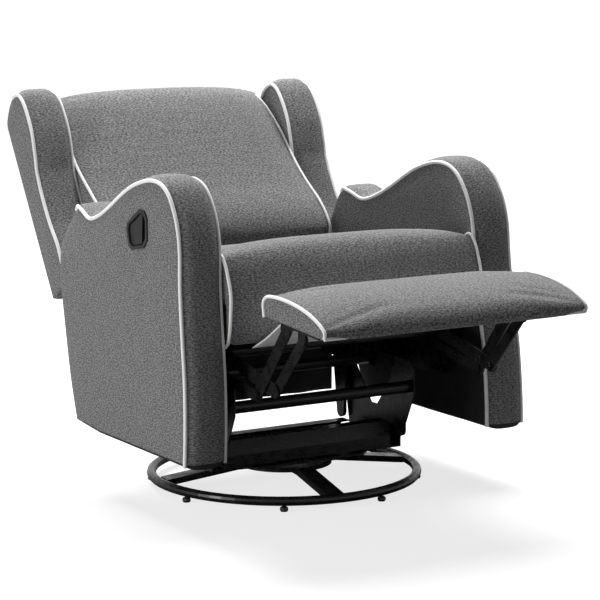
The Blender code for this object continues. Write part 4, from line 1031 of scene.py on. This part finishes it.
# %% Back cushion
PAD_REAR, PAD_DEPTH, PAD_LOW, PAD_TALL = 0.058, 0.102, 0.022, 0.411
CUSHION_FRONT = ((0.004, 1.020), (0.045, 1.130), (0.130, 1.110), (0.235, 0.985), (0.350, 0.830),
                 (0.560, 0.640), (0.740, 0.500), (0.900, 0.330), (0.985, 0.130), (1.012, -0.080),
                 (0.995, -0.200))
FRAME_TOP_Z, FRAME_FRONT_Y = 0.3866, 0.0750
cushion_face = smooth([(PAD_REAR - b * PAD_DEPTH, PAD_LOW + a * PAD_TALL)
                       for a, b in CUSHION_FRONT])
cushion_over = [(BACK_REAR - 0.012, BACK_LOW + 0.935 * BACK_HEIGHT),
                (BACK_REAR - 0.002, BACK_LOW + 0.912 * BACK_HEIGHT)]
cushion_outline = cushion_face + cushion_over + [(BACK_REAR - 0.002, FRAME_TOP_Z),
                                                 (FRAME_FRONT_Y, FRAME_TOP_Z),
                                                 (FRAME_FRONT_Y, PAD_LOW + 0.010)]


def cushion_half(y, z):
    """Half the width: less beside the brackets, and less at the top of the face."""
    beside = 0.2642 + 0.0038 * within((z - 0.185) / 0.12)
    share = max(0.0, (z - PAD_LOW) / PAD_TALL - 0.5) * 2
    return beside - 0.0184 * share ** 2 * within((0.085 - y) / 0.04)


def cushion_held(point):
    on_frame = point.y > FRAME_FRONT_Y - 0.0035 and point.z < 0.392
    half = cushion_half(point.y, point.z)
    return on_frame or near_edge(point, cushion_face, half, 0.009, 0.016)


back_cushion = swept("back_cushion_cover", cushion_outline, cushion_half, 0.008, 0.002)
blow_up(back_cushion, cushion_held, 0.011, 0.2683)


def drawn_back(z):
    """How far the wings' seam draws the cushion's edge back, at a height."""
    share = within((z - 0.10) / 0.16)
    return 0.016 * share * share * (3 - 2 * share)


for vertex in back_cushion.data.vertices:
    edge = within((abs(vertex.co.x) - 0.165) / 0.10) ** 2
    front = within((0.070 - vertex.co.y) / 0.03)
    vertex.co.y += drawn_back(vertex.co.z) * edge * front
    if vertex.co.z < 0.386:
        vertex.co.y = min(vertex.co.y, 0.0752)
    crest = within((vertex.co.z - 0.30) / 0.10)
    vertex.co.z += 0.010 * crest * (1 - (vertex.co.x / 0.268) ** 2)
lay_cloth(back_cushion, cushion_outline)
cushion_seams = [placed(BACK, [(way * (cushion_half(y, z) - 0.0022), y - 0.0012 + drawn_back(z), z)
                               for y, z in cushion_face + cushion_over[:1]]) for side, way in SIDES]
dressed(back_cushion, BACK)
padding(back_cushion, cushion_seams, "back", 0.7, "back_cushion")
piping("back_cushion_piping", "back", cushion_seams, 0.0028)

# %% [markdown]
# ## Seat cushion
#
# The seat falls to the rear and rolls down over the front rail. Its sides are
# piped from the bottom of that roll up to the top of the front edge, where the
# piping dives between the seat and the arms.

# %% Seat cushion
SEAT_FRONT_Y, SEAT_REAR_Y, SEAT_HALF = -0.356, 0.163, 0.2858
SEAT_ROLL = ((0.040, 0.000), (0.018, 0.060), (0.004, 0.200), (-0.004, 0.400), (-0.006, 0.600),
             (0.006, 0.780), (0.030, 0.920), (0.070, 1.000))
SEAT_TOP = ((0.200, 0.930), (0.420, 0.540), (0.700, 0.230), (0.930, 0.000), (0.988, -0.160),
            (1.000, -0.430))
ROLL_LOW_Z, ROLL_HEIGHT, SEAT_LOW_Z, SEAT_RISE = 0.342, 0.185, 0.458, 0.069
DECK_FRONT_Y, DECK_FRONT_Z, DECK_REAR_Z, DECK_SLOPE = -0.3364, 0.4256, 0.3712, 0.1091
SEAM_TURN, SEAM_END = 43, 46
seat_depth = SEAT_REAR_Y - SEAT_FRONT_Y
seat_roll = [(SEAT_FRONT_Y + a * seat_depth, ROLL_LOW_Z + b * ROLL_HEIGHT) for a, b in SEAT_ROLL]
seat_top = [(SEAT_FRONT_Y + a * seat_depth, SEAT_LOW_Z + b * SEAT_RISE) for a, b in SEAT_TOP]
seat_run = smooth(seat_roll + seat_top)
seat_outline = seat_run + [(SEAT_REAR_Y, DECK_REAR_Z), (DECK_FRONT_Y, DECK_FRONT_Z),
                           (DECK_FRONT_Y, 0.344)]


def fallen(x):
    """How far the seat is lower at x than in its middle."""
    return 0.011 * within((abs(x) - 0.09) / 0.196) ** 2


def on_top(z):
    """How far a height belongs to the seat's top, from 0 to 1."""
    return within((z - 0.435) / 0.05)


def seat_held(point):
    deck = DECK_FRONT_Z - DECK_SLOPE * (point.y - DECK_FRONT_Y)
    below = point.z < deck + 0.004 and point.y > -0.342
    behind = point.y > -0.3405 and point.z < 0.427
    return below or behind or near_edge(point, seat_run, SEAT_HALF, 0.009, 0.016)


def seat_half(y, z):
    return SEAT_HALF - drawn_in(y, z)


seat_cushion = swept("seat_cushion_cover", seat_outline, seat_half, 0.002, 0.002)
blow_up(seat_cushion, seat_held, 0.008, SEAT_HALF + 0.001)
for vertex in seat_cushion.data.vertices:
    share = on_top(vertex.co.z)
    vertex.co.z -= fallen(vertex.co.x) * share
    vertex.co.y += fallen(vertex.co.x) * 0.5 * share
lay_cloth(seat_cushion, seat_outline)
seat_seam = seat_run[:SEAM_TURN] + [(y, z - 0.005 * index) for index, (y, z)
                                    in enumerate(seat_run[SEAM_TURN:SEAM_END], 1)]
seat_seam = [(y + 0.005 * on_top(z), z - 0.010 * on_top(z)) for y, z in seat_seam]
seat_seams = [placed(CHAIR, [(way * (SEAT_HALF - 0.0012), y, z) for y, z in seat_seam])
              for side, way in SIDES]
dressed(seat_cushion, CHAIR)
padding(seat_cushion, seat_seams, "carriage", 0.7, "seat_cushion")
piping("seat_cushion_piping", "carriage", seat_seams, 0.0030)

# %% [markdown]
# ## Footrest
#
# The pad is full at its rear and thins to the front. Its cover wraps the board
# and is stapled below. Piping runs round each end and along the lower front
# edge.

# %% Footrest pad with its cover
FOOT_REAR, FOOT_LENGTH, FOOT_HALF = 0.031, 0.213, 0.2870
BOARD_LOW, BOARD_HIGH, FOOT_THICK = 0.0192, 0.0313, 0.0305
FOOT_TOP = ((0.000, 0.000), (-0.010, 0.300), (0.000, 0.640), (0.045, 0.880), (0.120, 1.000),
            (0.260, 1.080), (0.420, 1.080), (0.580, 1.000), (0.740, 0.820), (0.870, 0.560),
            (0.960, 0.280), (1.000, 0.020), (0.990, -0.250))
foot_top = [(FOOT_REAR - a * FOOT_LENGTH, BOARD_HIGH + b * FOOT_THICK) for a, b in FOOT_TOP]
foot_run = [(FOOT_REAR - 0.003, BOARD_LOW)] + smooth(foot_top)
foot_outline = foot_run + [(0.0225 - FOOT_LENGTH + FOOT_REAR, BOARD_LOW),
                           (FOOT_REAR - 0.012, BOARD_LOW)]


def foot_held(point):
    return point.z < BOARD_LOW + 0.004 or near_edge(point, foot_run, FOOT_HALF, 0.008, 0.014)


footrest_cover = swept("footrest_cover", foot_outline, level(FOOT_HALF), 0.0092, 0.0015, fullness=8)
blow_up(footrest_cover, foot_held, 0.004, FOOT_HALF + 0.008, voxel=0.005)
for vertex in footrest_cover.data.vertices:
    vertex.co.z = max(vertex.co.z, BOARD_LOW)
lay_cloth(footrest_cover, foot_outline)
foot_seams = [placed(FOOT, [(way * (FOOT_HALF - 0.001), y, z) for y, z in foot_run])
              for side, way in SIDES]
tip_y, tip_z = foot_run[-1]
foot_seams.append(placed(FOOT, [(share * (FOOT_HALF - 0.001), tip_y - 0.0005, tip_z - 0.001)
                                for share in (-1.0, -0.5, 0.0, 0.5, 1.0)]))
dressed(footrest_cover, FOOT)
padding(footrest_cover, foot_seams, "footrest", 0.8, "footrest_pad", "footrest_board")
piping("footrest_piping", "footrest", foot_seams, 0.0031)

# %% [markdown]
# ## Outside of the back, and the linings
#
# The outer back is one flat panel, sewn to the wings and swelling slightly
# between its seams. A pale lining closes the gap between seat and footrest.
# It is loose cloth that folds up on the real chair when the footrest closes;
# here it is one sheet, drawn open. Black dust cloth hangs behind the mechanism.

# %% A flat piece of cloth
def cloth_sheet(name, across, down, at, finish, place, thickness):
    """A grid of cloth, where at(u, v) gives each point; also its flat size."""
    skin = Skin()
    grid = [[skin.add(at(i / across, j / down)) for j in range(down + 1)]
            for i in range(across + 1)]
    flat = {}
    for i, column in enumerate(grid):
        for j, number in enumerate(column):
            here, x, y = Vector(skin.points[number]), 0.0, 0.0
            if i:
                x = flat[i - 1, j][0] + (here - Vector(skin.points[grid[i - 1][j]])).length
            if j:
                y = flat[i, j - 1][1] + (here - Vector(skin.points[column[j - 1]])).length
            flat[i, j] = (x, y)
    for i in range(across):
        for j in range(down):
            corners = ((i, j), (i + 1, j), (i + 1, j + 1), (i, j + 1))
            skin.face([grid[a][b] for a, b in corners], [flat[c] for c in corners])
    made = skin.make(name, (finish,), place)
    wall = made.modifiers.new("cloth", "SOLIDIFY")
    wall.thickness = thickness
    wall.offset = 0.0
    plain_mesh(made)
    return made, (flat[across, 0][0], flat[0, down][1])


# %% Outer back panel
COVER_HALF, COVER_TOP = 0.2680, 0.388


def cover_at(u, v):
    x = COVER_HALF * (2 * u - 1)
    z = BACK_LOW + 0.002 + (COVER_TOP - BACK_LOW - 0.002) * v
    rise = (1 - abs(2 * u - 1) ** 6) * (1 - abs(2 * v - 1) ** 6)
    wave = 0.0008 * noise.noise(Vector((x * 7, z * 7, 1.0)))
    return x, BACK_REAR - 0.0018 + 0.0035 * rise + wave * rise, z


back_panel, panel_size = cloth_sheet("back_outer_panel", 60, 48, cover_at, GREY_COVER, BACK, 0.0032)
cover_seams = [placed(BACK, [cover_at(u, v / 10) for v in range(11)]) for u in (0.0, 1.0)]
cover_seams.append(placed(BACK, [cover_at(u / 10, 1.0) for u in range(11)]))
padding(back_panel, cover_seams, "back", 0.3, "back_cover")
print("back panel:", [round(1000 * value) for value in panel_size], "mm")

# %% Linings
GAP_HALF, FOOT_COS, FOOT_SIN = 0.2362, 0.9976, 0.0698
gap_low = Vector((SEAT_FRONT_Y + 0.004, 0.3395))
gap_high = Vector((FOOT_AT[0] + 0.026 * FOOT_COS - 0.0182 * FOOT_SIN,
                   FOOT_AT[1] + 0.026 * FOOT_SIN + 0.0182 * FOOT_COS))


def gap_at(u, v):
    point = gap_low.lerp(gap_high, v)
    sag = 0.005 * math.sin(math.pi * v)
    crease = 0.0022 * noise.noise(Vector((u * 9.0, v * 2.5, 5.0))) * math.sin(math.pi * v)
    return GAP_HALF * (2 * u - 1), point.x + crease, point.y - sag + crease


gap_lining, gap_size = cloth_sheet("gap_lining_cloth", 64, 22, gap_at, PALE_LINING, CHAIR, 0.0012)
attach(gap_lining, "carriage")
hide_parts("gap_lining")
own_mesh(gap_lining)

DROP_HALF, DROP_TOP, DROP_LOW, DROP_Y = 0.252, 0.366, 0.126, 0.1512


def drop_at(u, v):
    z = DROP_TOP + (DROP_LOW - DROP_TOP) * v
    fold = 0.0030 * v * (1 + math.sin(u * 34.0 + 1.5 * math.sin(u * 9.0)))
    ripple = 0.0008 * noise.noise(Vector((u * 12, v * 4, 8.0)))
    return DROP_HALF * (2 * u - 1), DROP_Y + fold + ripple, z


dust_drop, drop_size = cloth_sheet("rear_dust_cloth", 96, 30, drop_at, DUST_CLOTH, CHAIR, 0.0010)
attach(dust_drop, "carriage")
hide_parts("rear_lining")
print("linings:", [round(1000 * value) for value in (*gap_size, *drop_size)], "mm")

# %% [markdown]
# ## Rivets, bolts and staples
#
# The footrest's links turn on shoulder rivets, the glider's on bolts, and
# staples hold the cloths to the wood. They are small and many, so a tree puts one
# shape on every point, turned the way the point's arrow shows. The pivots'
# places come from the frame's own joints, and each set rides with its link.

# %% Heads on points
def copied(points, shape, axis, way, finish):
    """The end of a tree: a shape on every point, with an axis turned the given way."""
    turn = Signal.make(points.tree, "FunctionNodeAlignRotationToVector", {"axis": axis},
                       {"Vector": way})
    copies = Signal.make(points.tree, "GeometryNodeInstanceOnPoints", None,
                         {"Points": points, "Instance": shape, "Rotation": turn})
    return hand_out(copies, finish)


def domed(radius, height):
    tree = radius.tree
    ball = Signal.make(tree, "GeometryNodeMeshUVSphere", None,
                       {"Segments": 20, "Rings": 8, "Radius": radius})
    ratio = radius.maths("DIVIDE", height, radius)
    scale = Signal.make(tree, "ShaderNodeCombineXYZ", None, {"X": 1.0, "Y": 1.0, "Z": ratio})
    return Signal.make(tree, "GeometryNodeTransform", None, {"Geometry": ball, "Scale": scale})


def hexagonal(radius, height):
    tree = radius.tree
    both = tree.nodes.new("GeometryNodeJoinGeometry")
    for corners, wide, deep in ((6, radius, height * 2.0), (24, radius * 1.4, height * 0.5)):
        disc = Signal.make(tree, "GeometryNodeMeshCylinder", None,
                           {"Vertices": corners, "Radius": wide, "Depth": deep})
        Signal.feed(tree, both.inputs[0], disc)
    return Signal(tree, both.outputs[0])


def head_tree(name, shape):
    points, radius, height, finish = new_tree(name, Radius=0.006, Height=0.002)
    arrow = Signal.make(points.tree, "GeometryNodeInputNamedAttribute",
                        {"data_type": "FLOAT_VECTOR"}, {"Name": "facing"})
    return copied(points, shape(radius, height), "Z", arrow, finish)


RIVETS, BOLTS = head_tree("rivet_heads", domed), head_tree("bolt_heads", hexagonal)


def heads(name, body, tree, points, radius, height, finish, rounded=True):
    made = run_tree(name, tree, [[place] for place, arrow in points],
                    {"Radius": radius, "Height": height, "Finish": finish},
                    [arrow for place, arrow in points], rounded)
    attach(made, body)
    print("%s: %d heads" % (name, len(points)))


# %% Rivets of the footrest and bolts of the glider
PIVOT = {joint["name"]: joint["pos_m"] for joint in frame["joints"]}
RIVETED = (("footrest_lower", ("footrest_upper_hinge", "footrest_front_hinge"), 0.2369, -1.0),
           ("footrest_control", ("footrest_control_hinge",), 0.2617, 1.0))
BOLT_X = 0.2167
for body, hinges, x, sense in RIVETED:
    points = [((way * x, *PIVOT[hinge][1:]), (way * sense, 0.0, 0.0))
              for hinge in hinges for side, way in SIDES]
    heads("%s_rivets" % body, body, RIVETS, points, 0.0066, 0.0021, STEEL)
for end in ("front", "rear"):
    for side, way in SIDES:
        y, z = PIVOT["hanger_%s_%s_hinge" % (end, side)][1:]
        points = [((way * BOLT_X, y, height), (way, 0.0, 0.0)) for height in (z, PIVOT["glide"][2])]
        heads("glide_bolts_%s_%s" % (end, side), "hanger_%s_%s" % (end, side), BOLTS, points,
              0.0062, 0.0024, ZINC, rounded=False)


# %% Staples along an edge
def staple_tree():
    edge, length, wire, spacing, finish = new_tree("staples_along_edge", Length=0.010, Wire=0.0009,
                                                   Spacing=0.030)
    way = Signal.make(edge.tree, "GeometryNodeInputTangent")
    size = Signal.make(edge.tree, "ShaderNodeCombineXYZ", None, {"X": length, "Y": wire, "Z": wire})
    bar = Signal.make(edge.tree, "GeometryNodeMeshCube", None, {"Size": size})
    return copied(divided(edge, spacing), bar, "X", way, finish)


STAPLES = staple_tree()
UNDER_BOARD = BOARD_LOW - 0.0004
front_y, rear_y, edge_x = tip_y + 0.012, FOOT_REAR - 0.016, FOOT_HALF - 0.016
foot_edges = [placed(FOOT, [(a, b, UNDER_BOARD), (c, d, UNDER_BOARD)]) for a, b, c, d in
              ((-edge_x, rear_y, edge_x, rear_y), (-edge_x, front_y, edge_x, front_y),
               (-edge_x, rear_y, -edge_x, front_y), (edge_x, rear_y, edge_x, front_y))]
drop_edge = [placed(CHAIR, [(x, DROP_Y + 0.0008, DROP_TOP - 0.007) for x in (-0.236, 0.236)])]
for name, body, lines in (("footrest_staples", "footrest", foot_edges),
                          ("rear_staples", "carriage", drop_edge)):
    staples = run_tree(name, STAPLES, lines,
                       {"Length": 0.010, "Wire": 0.0009, "Spacing": 0.030, "Finish": ZINC},
                       rounded=False)
    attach(staples, body)
    print("%s: %d staples" % (name, len(staples.data.polygons) // 6))

# %% [markdown]
# ## Floor and light
#
# A pale floor takes the chair's soft shadow. The room is white to the camera
# and in reflections, and lights the chair evenly at a plain level. A low lamp on
# the left lights the near arm, a high one lights the tops, and one behind the
# chair draws their edges while the front stays in shade.

# %% Studio floor
FLOOR_HALF, GLOW_FROM, GLOW_TO = 60, 0.7, 2.0
mesh = bpy.data.meshes.new("studio_floor")
corners = ((-FLOOR_HALF, -FLOOR_HALF, 0), (FLOOR_HALF, -FLOOR_HALF, 0), (FLOOR_HALF, FLOOR_HALF, 0),
           (-FLOOR_HALF, FLOOR_HALF, 0))
mesh.from_pydata(corners, [], [(0, 1, 2, 3)])
floor = put("studio_floor", mesh)
floor.location.z = -0.0005
made = bpy.data.materials.new("pale_floor")
made.use_nodes = True
tree = made.node_tree
tree.nodes.clear()
pale = Signal.make(tree, "ShaderNodeBsdfDiffuse", None, {"Color": (0.36, 0.36, 0.36, 1.0)})
ray = Signal.make(tree, "ShaderNodeLightPath")
far = Signal.make(tree, "ShaderNodeVectorMath", {"operation": "LENGTH"}, {0: object_place(tree)},
                  output=1)
glow = far.spread(GLOW_FROM, GLOW_TO, 0.76, 1.0)
white = Signal.make(tree, "ShaderNodeEmission", None,
                    {"Color": (1, 1, 1, 1), "Strength": ray * glow})
shown = Signal.make(tree, "ShaderNodeAddShader", None, {0: pale, 1: white})
Signal.feed(tree, tree.nodes.new("ShaderNodeOutputMaterial").inputs["Surface"], shown)
mesh.materials.append(made)
print("floor:", 2 * FLOOR_HALF, "m wide")

# %% Room and lamps
world = bpy.data.worlds.new("white_room")
world.use_nodes = True
scene.world = world
tree = world.node_tree
paths = tree.nodes.new("ShaderNodeLightPath")
rays = [Signal(tree, paths.outputs["Is %s Ray" % kind])
        for kind in ("Camera", "Glossy", "Transmission")]
seen = (rays[0] + rays[1] + rays[2]).above(0.5)
for key, value in (("Color", (1, 1, 1, 1)), ("Strength", seen.spread(0.0, 1.0, 0.10, 1.0))):
    Signal.feed(tree, tree.nodes["Background"].inputs[key], value)

LAMP_AIM = Vector((0.0, 0.0, 0.4))
for name, place, size, power in (("left_lamp", (-3.2, -0.2, 0.50), 1.2, 60),
                                 ("high_lamp", (0.9, 0.6, 3.3), 1.8, 125),
                                 ("rear_lamp", (0.0, 2.6, 3.0), 1.8, 155)):
    lamp = bpy.data.lights.new(name, "AREA")
    lamp.shape = "DISK"
    lamp.size = size
    lamp.energy = power
    made = put(name, lamp)
    made.location = place
    made.rotation_euler = (LAMP_AIM - Vector(place)).to_track_quat("-Z", "Y").to_euler()
print("room and three lamps")
